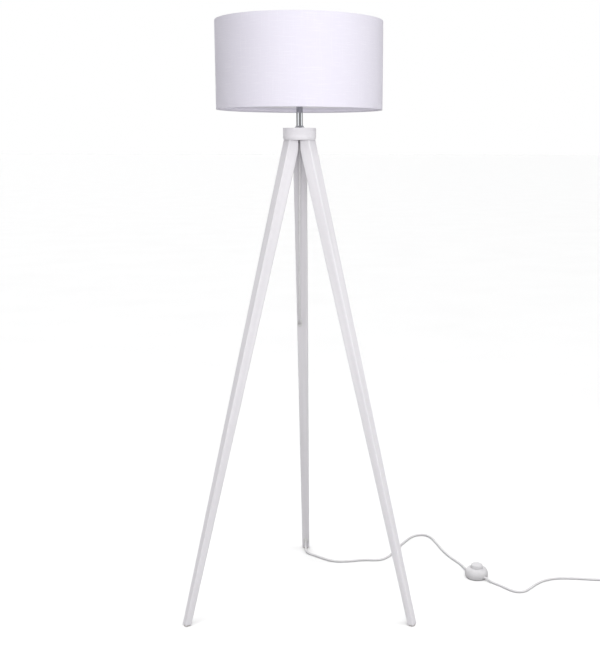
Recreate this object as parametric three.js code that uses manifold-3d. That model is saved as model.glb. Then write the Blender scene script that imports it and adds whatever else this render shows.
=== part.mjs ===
// Tripod floor lamp: a fabric drum shade over a chrome stem, a round painted hub, three tapered
// square legs and a mains cord with a foot switch. Millimetres, +Z up. The lamp's front faces -Y.
import * as THREE from 'three';
import { mergeVertices } from 'three/addons/utils/BufferGeometryUtils.js';
import Module from 'manifold-3d';

const wasm = await Module();
wasm.setup();

// ---------------------------------------------------------------- driving dimensions

const GAP = 0.3; // between pieces that touch

const SHADE_RADIUS = 200;
const SHADE_HEIGHT = 205;
const SHADE_BOTTOM = 1250;
const SHADE_WALL = 1.2;
const SHADE_SEGMENTS = 48;
const WIRE_RADIUS = 1.6;
const FITTER_Z = 1308; // underside of the fitter's centre ring
const FITTER_THICKNESS = 1.5;

const HUB_RADIUS = 40;
const HUB_BOTTOM = 1179;
const HUB_THICKNESS = 28.6;
const HUB_BEVEL_HEIGHT = 6;
const HUB_BEVEL_DEPTH = 1.9;
const HUB_POCKET_RADIUS = 12.5;
const HUB_POCKET_DEPTH = 15;

const LEG_ANGLES = { front_left: 210, front_right: 330, rear: 90 };
const LEG_TOP_WIDTH = 33.5; // across, along the hub's rim
const LEG_TOP_DEPTH = 31; // outwards
const LEG_FOOT_WIDTH = 20;
const LEG_FOOT_DEPTH = 16.5;
const LEG_TOP_RADIUS = 20.3; // lamp axis to the leg's centre line, under the hub
const LEG_FOOT_RADIUS = 320.75;
const LEG_MITRE_GAP = 5; // slit between two neighbouring leg tops
const PAD_THICKNESS = 2.5;
const PAD_RADIUS = 7.5;

const BOLT_RADIUS = 3;
const BOLT_CIRCLE = 25;
const BOLT_HEAD_RADIUS = 5;
const BOLT_HEAD_HEIGHT = 4;
const COUNTERBORE_DEPTH = 7;
const INSERT_RADIUS = 4.5;
const INSERT_LENGTH = 16;
const LEG_HOLE_DEPTH = 27;

const STEM_RADIUS = 8;
const STEM_WALL = 1.5;
const STEM_TOP = 1262;
const COLLAR_RADIUS = 12.3;
const COLLAR_HEIGHT = 5;
const CAP_RADIUS = 10.5;
const CAP_HEIGHT = 2.2;
const ROD_RADIUS = 5;
const ROD_BORE = 3.6;
const CORD_RADIUS = 3;
const BORE_RADIUS = 4.3;

const SWITCH_X = 476;
const SWITCH_Y = 120;
const SWITCH_TURN = -52; // degrees, heading of the cord through the switch
const SWITCH_RADIUS = 31;
const SWITCH_CORD_Z = 7.8; // height of the cord where it enters the switch
const BUTTON_RADIUS = 16.3;

const COIL_X = 885;
const COIL_Y = 130;
const COIL_RADIUS = 33;
const COIL_HALF_WIDTH = 6.3;
const COIL_BOTTOM = 1.4;
const COIL_TOP = 13.8;
const PLUG_X = 921.2;
const PLUG_Z = 7;

const HUB_TOP = HUB_BOTTOM + HUB_THICKNESS;
const LEG_TOP = HUB_BOTTOM - GAP;
const LEG_BOTTOM = PAD_THICKNESS + GAP;
const LEG_SLOPE = (LEG_FOOT_RADIUS - LEG_TOP_RADIUS) / (LEG_TOP - LEG_BOTTOM);
// The origin is under the middle of the lamp's own box, which the shade's front rim and the
// rear foot bound, so the lamp's axis stands a little in front of it.
const AXIS_Y = -(LEG_FOOT_RADIUS + LEG_FOOT_DEPTH / 2 - SHADE_RADIUS) / 2;

// ---------------------------------------------------------------- materials

function material(color, roughness, metalness) {
  return () => new THREE.MeshStandardMaterial({ color, roughness, metalness });
}

const whitePaint = material('#ebe8ea', 0.45, 0);
const shadeFabric = material('#f3effa', 0.9, 0);
const chrome = material('#d5d7da', 0.12, 1);
const zincSteel = material('#b9bcbe', 0.35, 1);
const brass = material('#c9a659', 0.3, 1);
const whitePlastic = material('#e9e9e8', 0.4, 0);
const whiteCord = material('#e4e3e4', 0.5, 0);
const whiteWire = material('#efefee', 0.4, 0);
const greyRubber = material('#8f8f90', 0.8, 0);
const felt = material('#c9c5bf', 0.95, 0);
const opalGlass = material('#fbfaf5', 0.25, 0);
const ceramic = material('#f2f0ea', 0.3, 0);

// ---------------------------------------------------------------- solids

// One closed skin with its shared vertices merged and its faces pointing out.
function skin(geometry) {
  const bare = geometry.clone();
  bare.deleteAttribute('normal');
  bare.deleteAttribute('uv');
  const merged = mergeVertices(bare, 1e-4);
  const place = merged.getAttribute('position');
  const corner = (i) => new THREE.Vector3().fromBufferAttribute(place, i);
  const faces = [];
  let volume = 0;
  for (let i = 0; i < merged.index.count; i += 3) {
    const [a, b, c] = [0, 1, 2].map((k) => merged.index.getX(i + k));
    if (a !== b && b !== c && c !== a) {
      faces.push(a, b, c);
      volume += corner(a).dot(corner(b).cross(corner(c)));
    }
  }
  if (volume < 0) {
    faces.reverse();
  }
  merged.setIndex(faces);
  return merged;
}

function toManifold(geometry) {
  const closed = skin(geometry);
  const vertProperties = new Float32Array(closed.getAttribute('position').array);
  const triVerts = new Uint32Array(closed.index.array);
  return new wasm.Manifold(new wasm.Mesh({ numProp: 3, vertProperties, triVerts }));
}

function fromManifold(solid) {
  const mesh = solid.getMesh();
  const geometry = new THREE.BufferGeometry();
  geometry.setAttribute('position', new THREE.BufferAttribute(mesh.vertProperties, 3));
  geometry.setIndex(new THREE.BufferAttribute(mesh.triVerts, 1));
  return geometry;
}

function cut(body, ...tools) {
  const solid = tools.reduce((rest, tool) => rest.subtract(toManifold(tool)), toManifold(body));
  return fromManifold(solid);
}

function join(first, ...others) {
  const solid = others.reduce((sum, other) => sum.add(toManifold(other)), toManifold(first));
  return fromManifold(solid);
}

// A turned piece about Z from [radius, height] points that start and end on the axis.
function turned(profile, segments = 20) {
  const points = profile.map(([radius, height]) => new THREE.Vector2(radius, height));
  return skin(new THREE.LatheGeometry(points, segments).rotateX(Math.PI / 2));
}

// A turned ring: the same, with a profile that closes on itself.
function ring(profile, segments = 20) {
  return turned([...profile, profile[0]], segments);
}

function cylinder(radius, bottom, top, segments = 20) {
  return turned([[0, bottom], [radius, bottom], [radius, top], [0, top]], segments);
}

function sleeve(outer, inner, bottom, top, segments = 20) {
  return ring([[inner, bottom], [outer, bottom], [outer, top], [inner, top]], segments);
}

function box(x, y, z, width, depth, height) {
  return new THREE.BoxGeometry(width, depth, height).translate(x, y, z);
}

function polygon(radius, sides) {
  const corners = [];
  for (let i = 0; i < sides; i += 1) {
    const angle = ((i + 0.5) * 2 * Math.PI) / sides;
    corners.push(new THREE.Vector2(radius * Math.cos(angle), radius * Math.sin(angle)));
  }
  return new THREE.Shape(corners);
}

function curveThrough(route) {
  return new THREE.CatmullRomCurve3(route.map((point) => new THREE.Vector3(...point)));
}

// A round bar along a route of [x, y, z] points.
function tube(route, radius, spacing, sides = 8) {
  const path = curveThrough(route);
  const steps = Math.max(2, Math.round(path.getLength() / spacing));
  const options = { steps, bevelEnabled: false, extrudePath: path };
  return skin(new THREE.ExtrudeGeometry(polygon(radius, sides), options));
}

function hexNut(acrossFlats, bore, bottom, top) {
  const hexagon = polygon(acrossFlats / Math.sqrt(3), 6);
  const block = new THREE.ExtrudeGeometry(hexagon, { depth: top - bottom, bevelEnabled: false });
  return cut(block.translate(0, 0, bottom), cylinder(bore, bottom - 1, top + 1, 16));
}

// ---------------------------------------------------------------- scene graph

const product = new THREE.Group();
const lamp = new THREE.Group();
lamp.position.y = AXIS_Y;
product.add(lamp);

function piece(name, geometry, finish, parent = lamp) {
  const mesh = new THREE.Mesh(geometry, finish());
  mesh.name = name;
  parent.add(mesh);
  return mesh;
}

// ---------------------------------------------------------------- legs

const legRadiusAt = (z) => LEG_TOP_RADIUS + (LEG_TOP - z) * LEG_SLOPE;

// Direction down a leg and direction outwards through it, in the leg's own X-Z plane.
const DOWN_LEG = new THREE.Vector3(LEG_SLOPE, 0, -1).normalize();
const INTO_LEG = new THREE.Vector3(1, 0, LEG_SLOPE).normalize();

// A leg in its own frame: X outwards from the lamp's axis, Y across, Z up.
function legBlock() {
  const corners = [];
  const levels = [
    [LEG_BOTTOM, LEG_FOOT_DEPTH / 2, LEG_FOOT_WIDTH / 2],
    [LEG_TOP, LEG_TOP_DEPTH / 2, LEG_TOP_WIDTH / 2],
  ];
  for (const [z, halfDepth, halfWidth] of levels) {
    const radius = legRadiusAt(z);
    corners.push(radius - halfDepth, -halfWidth, z, radius + halfDepth, -halfWidth, z);
    corners.push(radius + halfDepth, halfWidth, z, radius - halfDepth, halfWidth, z);
  }
  const faces = [0, 2, 1, 0, 3, 2, 4, 5, 6, 4, 6, 7];
  for (let i = 0; i < 4; i += 1) {
    const next = (i + 1) % 4;
    faces.push(i, next, next + 4, i, next + 4, i + 4);
  }
  const geometry = new THREE.BufferGeometry();
  geometry.setAttribute('position', new THREE.Float32BufferAttribute(corners, 3));
  geometry.setIndex(faces);
  return geometry;
}

// The half-space past one mitre plane, which runs 60 degrees either side of the leg.
function mitreTool(side) {
  const size = 120;
  const tool = box(0, side * (size - LEG_MITRE_GAP) / 2, LEG_TOP, size, size, 2 * size);
  return tool.rotateZ((side * Math.PI) / 3);
}

function legHole() {
  const hole = cylinder(INSERT_RADIUS + GAP, LEG_TOP - LEG_HOLE_DEPTH, LEG_TOP + 1, 16);
  return hole.translate(BOLT_CIRCLE, 0, 0);
}

// A place in the rear leg: distance down it from a height, across it, and out of its middle.
function inRearLeg(height, down, across, out) {
  const place = new THREE.Vector3(legRadiusAt(height), across, height);
  place.addScaledVector(DOWN_LEG, down).addScaledVector(INTO_LEG, out);
  return [-place.y, place.x, place.z];
}

const ENTRY_Z = 705; // where the cord goes into the rear leg
const EXIT_Z = 28; // where it comes out above the foot
const ENTRY_SIDE = 6.5; // the entry hole is left of the leg's middle

// The cord's way through the rear leg, in the lamp's frame.
const LEG_ROUTE = [
  inRearLeg(ENTRY_Z, -12, ENTRY_SIDE, -17.8),
  inRearLeg(ENTRY_Z, -5, ENTRY_SIDE, -13.2),
  inRearLeg(ENTRY_Z, 2, ENTRY_SIDE, -7.6),
  inRearLeg(ENTRY_Z, 9, ENTRY_SIDE, -3.4),
  inRearLeg(ENTRY_Z, 18, ENTRY_SIDE - 0.5, -0.9),
  inRearLeg(ENTRY_Z, 40, ENTRY_SIDE - 2, 0),
  inRearLeg(ENTRY_Z, 90, 1, 0),
  inRearLeg(ENTRY_Z, 150, 0, 0),
  inRearLeg(ENTRY_Z, 300, 0, 0),
  inRearLeg(ENTRY_Z, 450, 0, 0),
  inRearLeg(EXIT_Z, -120, 0, 0),
  inRearLeg(EXIT_Z, -60, 0, 0),
  inRearLeg(EXIT_Z, -32, 0, 0),
  inRearLeg(EXIT_Z, -18, 0, -1.2),
  inRearLeg(EXIT_Z, -9, 0, -4.2),
  inRearLeg(EXIT_Z, -2, 0, -8.6),
  inRearLeg(EXIT_Z, 3.5, 0, -13.5),
];

// The route carried a little further at both ends, so that its bore breaks the surface.
function boreRoute() {
  const beyond = (end, before) => {
    const tip = new THREE.Vector3(...end);
    return tip.sub(new THREE.Vector3(...before)).multiplyScalar(0.7).add(new THREE.Vector3(...end));
  };
  const last = LEG_ROUTE.length - 1;
  const start = beyond(LEG_ROUTE[0], LEG_ROUTE[1]);
  const end = beyond(LEG_ROUTE[last], LEG_ROUTE[last - 1]);
  return [start.toArray(), ...LEG_ROUTE, end.toArray()];
}

// The bore's three overlapping stretches: the bend in, the straight middle and the bend out.
function boreStretches() {
  const route = boreRoute();
  return { entry: route.slice(0, 10), middle: route.slice(9, 12), exit: route.slice(11) };
}

function boreTools() {
  const { entry, middle, exit } = boreStretches();
  return [tube(entry, BORE_RADIUS, 9), tube(middle, BORE_RADIUS, 600), tube(exit, BORE_RADIUS, 9)];
}

// An oval eyelet on the rear leg's inner face, round the cord.
function eyelet(height, down, side, halfLength, halfWidth, bore) {
  const thickness = 1.2;
  const oval = new THREE.Shape().absellipse(0, 0, halfLength, halfWidth, 0, 2 * Math.PI);
  const options = { depth: thickness, bevelEnabled: false, curveSegments: 12 };
  const plate = new THREE.ExtrudeGeometry(oval, options);
  const share = (height - LEG_BOTTOM) / (LEG_TOP - LEG_BOTTOM);
  const legDepth = LEG_FOOT_DEPTH + (LEG_TOP_DEPTH - LEG_FOOT_DEPTH) * share;
  const [x, y, z] = inRearLeg(height, down, side, -(legDepth / 2 + 3 * GAP));
  const along = new THREE.Vector3(0, DOWN_LEG.x, DOWN_LEG.z);
  const outward = new THREE.Vector3(0, -INTO_LEG.x, -INTO_LEG.z);
  const across = new THREE.Vector3().crossVectors(outward, along);
  plate.applyMatrix4(new THREE.Matrix4().makeBasis(along, across, outward));
  plate.translate(x, y, z);
  return cut(plate, tube(bore, CORD_RADIUS + 0.5, 6, 10));
}

function addLegs() {
  for (const [name, degrees] of Object.entries(LEG_ANGLES)) {
    const angle = THREE.MathUtils.degToRad(degrees);
    const turn = new THREE.Group();
    turn.rotation.z = angle;
    lamp.add(turn);
    let leg = cut(legBlock(), mitreTool(1), mitreTool(-1), legHole());
    if (name === 'rear') {
      leg = cut(leg, ...boreTools().map((tool) => tool.rotateZ(-angle)));
    }
    piece(`leg_${name}`, leg, whitePaint, turn);
    const pad = cylinder(PAD_RADIUS, 0, PAD_THICKNESS, 16);
    piece(`foot_pad_${name}`, pad, felt, turn).position.x = legRadiusAt(LEG_BOTTOM);
    const insertBottom = LEG_TOP - INSERT_LENGTH;
    const insert = sleeve(INSERT_RADIUS, BOLT_RADIUS + GAP, insertBottom, LEG_TOP - 1, 12);
    piece(`leg_insert_${name}`, insert, brass, turn).position.x = BOLT_CIRCLE;
    piece(`leg_bolt_${name}`, legBolt(), zincSteel, turn).position.x = BOLT_CIRCLE;
  }
  const { entry, exit } = boreStretches();
  piece('eyelet_upper', eyelet(ENTRY_Z, -5, ENTRY_SIDE, 11, 6, entry), whitePlastic);
  piece('eyelet_lower', eyelet(EXIT_Z, -1.5, 0, 10, 6, exit), whitePlastic);
}

// A socket-head bolt down through the hub into the leg's insert.
function legBolt() {
  const seat = HUB_TOP - COUNTERBORE_DEPTH + GAP;
  const tip = LEG_TOP - INSERT_LENGTH - 5;
  const head = seat + BOLT_HEAD_HEIGHT;
  const blank = turned([
    [0, tip], [BOLT_RADIUS - 0.6, tip], [BOLT_RADIUS, tip + 0.8], [BOLT_RADIUS, seat],
    [BOLT_HEAD_RADIUS, seat], [BOLT_HEAD_RADIUS, head - 0.6],
    [BOLT_HEAD_RADIUS - 0.6, head], [0, head],
  ], 12);
  const depth = 2.4;
  const key = new THREE.ExtrudeGeometry(polygon(2.9, 6), { depth: depth + 1, bevelEnabled: false });
  return cut(blank, key.translate(0, 0, head - depth));
}

// ---------------------------------------------------------------- hub and stem

function addHub() {
  const edge = 1; // eased upper edge
  const disc = turned([
    [0, HUB_BOTTOM], [HUB_RADIUS - HUB_BEVEL_DEPTH, HUB_BOTTOM],
    [HUB_RADIUS - 0.5, HUB_BOTTOM + 0.7 * HUB_BEVEL_HEIGHT],
    [HUB_RADIUS, HUB_BOTTOM + HUB_BEVEL_HEIGHT],
    [HUB_RADIUS, HUB_TOP - edge], [HUB_RADIUS - 0.3 * edge, HUB_TOP - 0.3 * edge],
    [HUB_RADIUS - edge, HUB_TOP], [0, HUB_TOP],
  ], 40);
  const tools = [
    cylinder(ROD_RADIUS + GAP, HUB_BOTTOM - 1, HUB_TOP + 1, 16),
    cylinder(HUB_POCKET_RADIUS, HUB_BOTTOM - 1, HUB_BOTTOM + HUB_POCKET_DEPTH, 20),
  ];
  for (const degrees of Object.values(LEG_ANGLES)) {
    const angle = THREE.MathUtils.degToRad(degrees);
    const [x, y] = [BOLT_CIRCLE * Math.cos(angle), BOLT_CIRCLE * Math.sin(angle)];
    tools.push(cylinder(BOLT_RADIUS + GAP, HUB_BOTTOM - 1, HUB_TOP + 1, 12).translate(x, y, 0));
    const seat = HUB_TOP - COUNTERBORE_DEPTH;
    tools.push(cylinder(BOLT_HEAD_RADIUS + 0.7, seat, HUB_TOP + 1, 16).translate(x, y, 0));
  }
  piece('hub_disc', cut(disc, ...tools), whitePaint);

  const pocketTop = HUB_BOTTOM + HUB_POCKET_DEPTH;
  const washerBottom = pocketTop - 1.8;
  const nutBottom = washerBottom - 4.8;
  const bore = ROD_RADIUS + GAP;
  piece('rod_washer', sleeve(11, bore, washerBottom, pocketTop - GAP, 16), zincSteel);
  piece('rod_nut_lower', hexNut(14, bore, nutBottom, washerBottom - GAP), zincSteel);
  const rodBottom = HUB_BOTTOM + 4.5;
  const rodTop = STEM_TOP + 16;
  piece('rod_tube', sleeve(ROD_RADIUS, ROD_BORE, rodBottom, rodTop, 16), zincSteel);
  piece('hub_gland', ring([
    [CORD_RADIUS + 0.4, HUB_BOTTOM + 0.3], [6.4, HUB_BOTTOM + 0.3], [7.4, HUB_BOTTOM + 1.6],
    [7.4, nutBottom - GAP], [bore, nutBottom - GAP], [bore, rodBottom - GAP],
    [CORD_RADIUS + 0.4, rodBottom - GAP],
  ], 16), whitePlastic);
}

function addStem() {
  const foot = HUB_TOP + GAP;
  const bore = STEM_RADIUS + GAP;
  piece('stem_collar', ring([
    [bore, foot], [COLLAR_RADIUS, foot], [COLLAR_RADIUS, foot + 0.9], [COLLAR_RADIUS - 1, foot + 1.6],
    [bore + 2, foot + 2.6], [bore + 1.4, foot + 3.8], [bore + 1.1, foot + COLLAR_HEIGHT],
    [bore, foot + COLLAR_HEIGHT],
  ], 28), chrome);
  piece('stem_tube', sleeve(STEM_RADIUS, STEM_RADIUS - STEM_WALL, foot, STEM_TOP, 28), chrome);
  const capBottom = STEM_TOP + GAP;
  piece('stem_cap', ring([
    [ROD_RADIUS + GAP, capBottom], [CAP_RADIUS - 1, capBottom], [CAP_RADIUS, capBottom + 0.6],
    [CAP_RADIUS, capBottom + CAP_HEIGHT - 0.6], [CAP_RADIUS - 1, capBottom + CAP_HEIGHT],
    [ROD_RADIUS + GAP, capBottom + CAP_HEIGHT],
  ], 24), chrome);
}

// ---------------------------------------------------------------- lampholder and bulb

const CUP_BOTTOM = STEM_TOP + CAP_HEIGHT + 2 * GAP;
const CUP_TOP = CUP_BOTTOM + 29;
const SKIRT_TOP = CUP_TOP + 40;
const INSERT_BOTTOM = CUP_TOP - 9;
const INSERT_TOP = INSERT_BOTTOM + 14;

// The holder's outer sleeve, whose long upper part takes the shade nuts.
function holderSkirt() {
  return ring([
    [17.2, CUP_TOP + GAP], [20, CUP_TOP + GAP], [20, CUP_TOP + 4], [19.7, CUP_TOP + 4.5],
    [19.7, SKIRT_TOP - 1], [18.7, SKIRT_TOP], [16, SKIRT_TOP], [16, INSERT_TOP + 2],
    [17.2, INSERT_TOP + 1],
  ], 24);
}

function shadeNut(bottom, inner) {
  const top = bottom + 6;
  return ring([
    [inner, bottom], [27.5, bottom], [28.5, bottom + 1], [28.5, bottom + 2.2],
    [24.5, top - 0.8], [23.7, top], [inner, top],
  ], 24);
}

function addLampholder() {
  const bore = ROD_RADIUS + GAP;
  piece('holder_cup', ring([
    [bore, CUP_BOTTOM], [13, CUP_BOTTOM], [17.5, CUP_BOTTOM + 3], [19.4, CUP_BOTTOM + 8],
    [20, CUP_BOTTOM + 14], [20, CUP_TOP], [18.2, CUP_TOP], [18.2, CUP_BOTTOM + 14.5],
    [16.6, CUP_BOTTOM + 5.6], [12, CUP_BOTTOM + 2.6], [bore, CUP_BOTTOM + 2.6],
  ], 24), whitePlastic);
  const nutBottom = CUP_BOTTOM + 2.6 + GAP;
  piece('rod_nut_upper', hexNut(14, bore, nutBottom, nutBottom + 4), zincSteel);
  piece('holder_insulator', ring([
    [2.6, INSERT_BOTTOM], [16.8, INSERT_BOTTOM], [16.8, INSERT_TOP],
    [14.8, INSERT_TOP], [14.8, INSERT_BOTTOM + 4], [2.6, INSERT_BOTTOM + 4],
  ], 20), ceramic);
  const shellBottom = INSERT_BOTTOM + 4 + GAP;
  piece('holder_shell', sleeve(14.5, 13.9, shellBottom, SKIRT_TOP - 12, 20), brass);
  const contactTop = shellBottom + 3.2;
  piece('holder_contact', turned([
    [0, INSERT_BOTTOM - 3], [2.3, INSERT_BOTTOM - 3], [2.3, INSERT_BOTTOM + 4 + GAP],
    [4.5, INSERT_BOTTOM + 4 + GAP], [4.5, contactTop - 1], [2, contactTop], [0, contactTop],
  ], 12), brass);
  piece('holder_skirt', holderSkirt(), whitePlastic);
  const nutTopBottom = FITTER_Z + FITTER_THICKNESS + GAP;
  piece('shade_nut_upper', shadeNut(nutTopBottom, 20.1), whitePlastic);
  const lower = shadeNut(-FITTER_Z + GAP, 20.1).rotateX(Math.PI);
  piece('shade_nut_lower', lower, whitePlastic);
}

function addBulb() {
  const tip = INSERT_BOTTOM + 4 + 3.2 + 2 * GAP;
  const capTop = tip + 27;
  const cap = [
    [0, tip], [3.8, tip], [4.2, tip + 1], [9.5, tip + 3], [13.3, tip + 5.5],
    [13.3, capTop], [0, capTop],
  ];
  piece('bulb_cap', turned(cap), zincSteel);
  const globe = 30;
  const neck = capTop + GAP;
  const centre = tip + 110 - globe;
  const outline = [[0, neck], [13.2, neck], [14, neck + 8], [18, neck + 22]];
  const steps = 9;
  for (let i = 0; i <= steps; i += 1) {
    const angle = THREE.MathUtils.degToRad(-35 + (125 * i) / steps);
    const radius = i === steps ? 0 : globe * Math.cos(angle);
    outline.push([radius, centre + globe * Math.sin(angle)]);
  }
  piece('bulb_globe', turned(outline, 24), opalGlass);
}

// ---------------------------------------------------------------- shade

function wireRing(radius, height) {
  const section = [];
  const sides = 6;
  for (let i = 0; i < sides; i += 1) {
    const angle = ((i + 0.5) * 2 * Math.PI) / sides;
    section.push([radius + WIRE_RADIUS * Math.cos(angle), height + WIRE_RADIUS * Math.sin(angle)]);
  }
  return ring(section, SHADE_SEGMENTS);
}

function addShade() {
  const top = SHADE_BOTTOM + SHADE_HEIGHT;
  const wall = sleeve(SHADE_RADIUS, SHADE_RADIUS - SHADE_WALL, SHADE_BOTTOM, top, SHADE_SEGMENTS);
  piece('shade_cover', wall, shadeFabric);
  const radius = SHADE_RADIUS - SHADE_WALL - WIRE_RADIUS - GAP;
  const inset = WIRE_RADIUS + 1;
  piece('shade_ring_upper', wireRing(radius, top - inset), whiteWire);
  const centreRing = sleeve(32, 20.6, FITTER_Z, FITTER_Z + FITTER_THICKNESS, 24);
  const arms = Object.values(LEG_ANGLES).map((degrees) => {
    const arm = [[radius, 0, SHADE_BOTTOM + inset], [30.4, 0, FITTER_Z + FITTER_THICKNESS / 2]];
    return tube(arm, WIRE_RADIUS, 400, 6).rotateZ(THREE.MathUtils.degToRad(degrees));
  });
  const frame = join(wireRing(radius, SHADE_BOTTOM + inset), centreRing, ...arms);
  piece('shade_frame_lower', frame, whiteWire);
}

// ---------------------------------------------------------------- cord inside and on the lamp

// From under the hub down to the rear leg, with a little slack.
const HANGING_ROUTE = [
  [0, 0, HUB_BOTTOM - 0.6],
  [0, 0.2, 1163],
  [-0.2, 1.6, 1142],
  [-0.8, 6.6, 1102],
  [-2, 16.4, 1050],
  [-3.2, 27.7, 1000],
  [-4.2, 39.5, 950],
  [-5.1, 52.2, 900],
  [-5.8, 66, 850],
  [-6.2, 80.8, 802],
  [-6.5, 95.6, 761],
  inRearLeg(ENTRY_Z, -34, ENTRY_SIDE, -24.5),
  inRearLeg(ENTRY_Z, -22, ENTRY_SIDE, -21.6),
  inRearLeg(ENTRY_Z, -12.7, ENTRY_SIDE, -18.15),
];

function addLampCord() {
  const inner = [[0, 0, HUB_BOTTOM], [0, 0, STEM_TOP - 20], [0, 0, STEM_TOP + 14]];
  piece('cord_in_stem', tube(inner, CORD_RADIUS, 35), whiteCord);
  piece('cord_hanging', tube(HANGING_ROUTE, CORD_RADIUS, 18), whiteCord);
  piece('cord_in_leg', tube(LEG_ROUTE, CORD_RADIUS, 13), whiteCord);
}

// ---------------------------------------------------------------- foot switch

const switchGroup = new THREE.Group();
switchGroup.position.set(SWITCH_X, SWITCH_Y, 0);
switchGroup.rotation.z = THREE.MathUtils.degToRad(SWITCH_TURN);
lamp.add(switchGroup);

const SWITCH_MAT = 1.5;
const SWITCH_SPLIT = SWITCH_CORD_Z;
const COVER_TOP = 27;
const COVER_WALL = 1.8;
const BUTTON_TOP = 36.5;
const CASSETTE_TOP = 20;
const PLUNGER_RADIUS = 3.5;

function cordNotches() {
  const notch = cylinder(CORD_RADIUS + 0.5, -SWITCH_RADIUS - 5, -16, 12).rotateY(Math.PI / 2);
  const inlet = notch.clone().translate(0, 0, SWITCH_CORD_Z);
  const outlet = notch.clone().rotateZ(Math.PI).translate(0, 0, SWITCH_CORD_Z);
  return [inlet, outlet];
}

function switchBase() {
  const bottom = SWITCH_MAT + GAP;
  const tray = turned([
    [0, bottom], [SWITCH_RADIUS - 1.8, bottom], [SWITCH_RADIUS - 0.8, bottom + 1],
    [SWITCH_RADIUS, SWITCH_SPLIT - GAP / 2], [SWITCH_RADIUS - COVER_WALL, SWITCH_SPLIT - GAP / 2],
    [SWITCH_RADIUS - COVER_WALL, bottom + 2], [1.4, bottom + 2], [1.4, bottom + 5], [0, bottom + 5],
  ], 32);
  return cut(tray, ...cordNotches());
}

function switchCover() {
  const rim = SWITCH_SPLIT + GAP / 2;
  const hole = BUTTON_RADIUS + 0.5;
  const shell = ring([
    [SWITCH_RADIUS - COVER_WALL, rim], [SWITCH_RADIUS, rim], [SWITCH_RADIUS, 12],
    [30.7, 15], [29.6, 18.4], [27.6, 21.6], [24.6, 24.4], [20.8, COVER_TOP - 0.7],
    [18.2, COVER_TOP], [hole, COVER_TOP - 0.1], [hole, COVER_TOP - 2],
    [20, COVER_TOP - 2.5], [23.6, 22.8], [26.2, 20.4], [28, 17.6], [28.9, 14.8],
    [SWITCH_RADIUS - COVER_WALL, 12],
  ], 32);
  return cut(shell, ...cordNotches());
}

function switchButton() {
  const flange = COVER_TOP - 2.9;
  const skirt = BUTTON_RADIUS - 1.8;
  return turned([
    [0, CASSETTE_TOP - 1.4], [PLUNGER_RADIUS, CASSETTE_TOP - 1.4],
    [PLUNGER_RADIUS, BUTTON_TOP - 2.2], [skirt - 1, BUTTON_TOP - 3.2], [skirt, flange - 1.6],
    [18, flange - 1.6], [18, flange], [BUTTON_RADIUS, flange], [BUTTON_RADIUS - 0.3, BUTTON_TOP - 4],
    [BUTTON_RADIUS - 1.1, BUTTON_TOP - 1.8], [BUTTON_RADIUS - 3, BUTTON_TOP - 0.4],
    [BUTTON_RADIUS - 5.5, BUTTON_TOP], [0, BUTTON_TOP],
  ], 24);
}

// The return spring round the plunger, between the cassette and the button.
function switchSpring() {
  const turns = 4;
  const bottom = CASSETTE_TOP + GAP + 0.5;
  const height = BUTTON_TOP - 2.6 - GAP - 0.5 - bottom;
  const route = [];
  for (let i = 0; i <= turns * 8; i += 1) {
    const angle = (i * Math.PI) / 4;
    route.push([5.2 * Math.cos(angle), 5.2 * Math.sin(angle), bottom + (height * i) / (turns * 8)]);
  }
  return tube(route, 0.45, 4, 6);
}

// The cassette over the rotor, with a slot for each contact strip.
function switchCassette() {
  const bottom = SWITCH_MAT + GAP + 2 + GAP;
  const cap = ring([
    [PLUNGER_RADIUS + 0.4, CASSETTE_TOP], [PLUNGER_RADIUS + 0.4, CASSETTE_TOP - 1.4],
    [10.4, CASSETTE_TOP - 1.4], [10.4, bottom], [12, bottom], [12, CASSETTE_TOP],
  ], 20);
  return cut(cap, box(0, 0, 6, 40, 4.8, 2.4));
}

function addFootSwitch() {
  const add = (name, geometry, finish) => piece(name, geometry, finish, switchGroup);
  add('switch_mat', cylinder(SWITCH_RADIUS - 2, 0, SWITCH_MAT, 28), greyRubber);
  add('switch_base', switchBase(), whitePlastic);
  add('switch_cover', switchCover(), whitePlastic);
  add('switch_button', switchButton(), whitePlastic);
  add('switch_spring', switchSpring(), zincSteel);
  add('switch_cassette', switchCassette(), ceramic);
  const rotorBottom = SWITCH_MAT + 2 + 3 * GAP;
  const wheel = sleeve(6.2, 1.8, rotorBottom, rotorBottom + 2.8, 16);
  const bar = cut(box(0, 0, rotorBottom + 1.6, 16, 2.6, 1.4), cylinder(1.8, 0, 20, 16));
  add('switch_rotor', join(wheel, bar), brass);
  for (const [name, side] of [['in', -1], ['out', 1]]) {
    const strip = box(side * 13.6, 0, 6, 10.4, 4, 0.8);
    const tab = box(side * 18.3, 0, 7.2, 1, 4, 3.2);
    add(`switch_contact_${name}`, join(strip, tab), brass);
    add(`switch_clamp_${name}`, box(side * 23.5, 0, 12.1, 4, 15, 1.8), whitePlastic);
  }
}

// ---------------------------------------------------------------- cord on the floor

const FLOOR_Z = CORD_RADIUS + 0.1;

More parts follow.
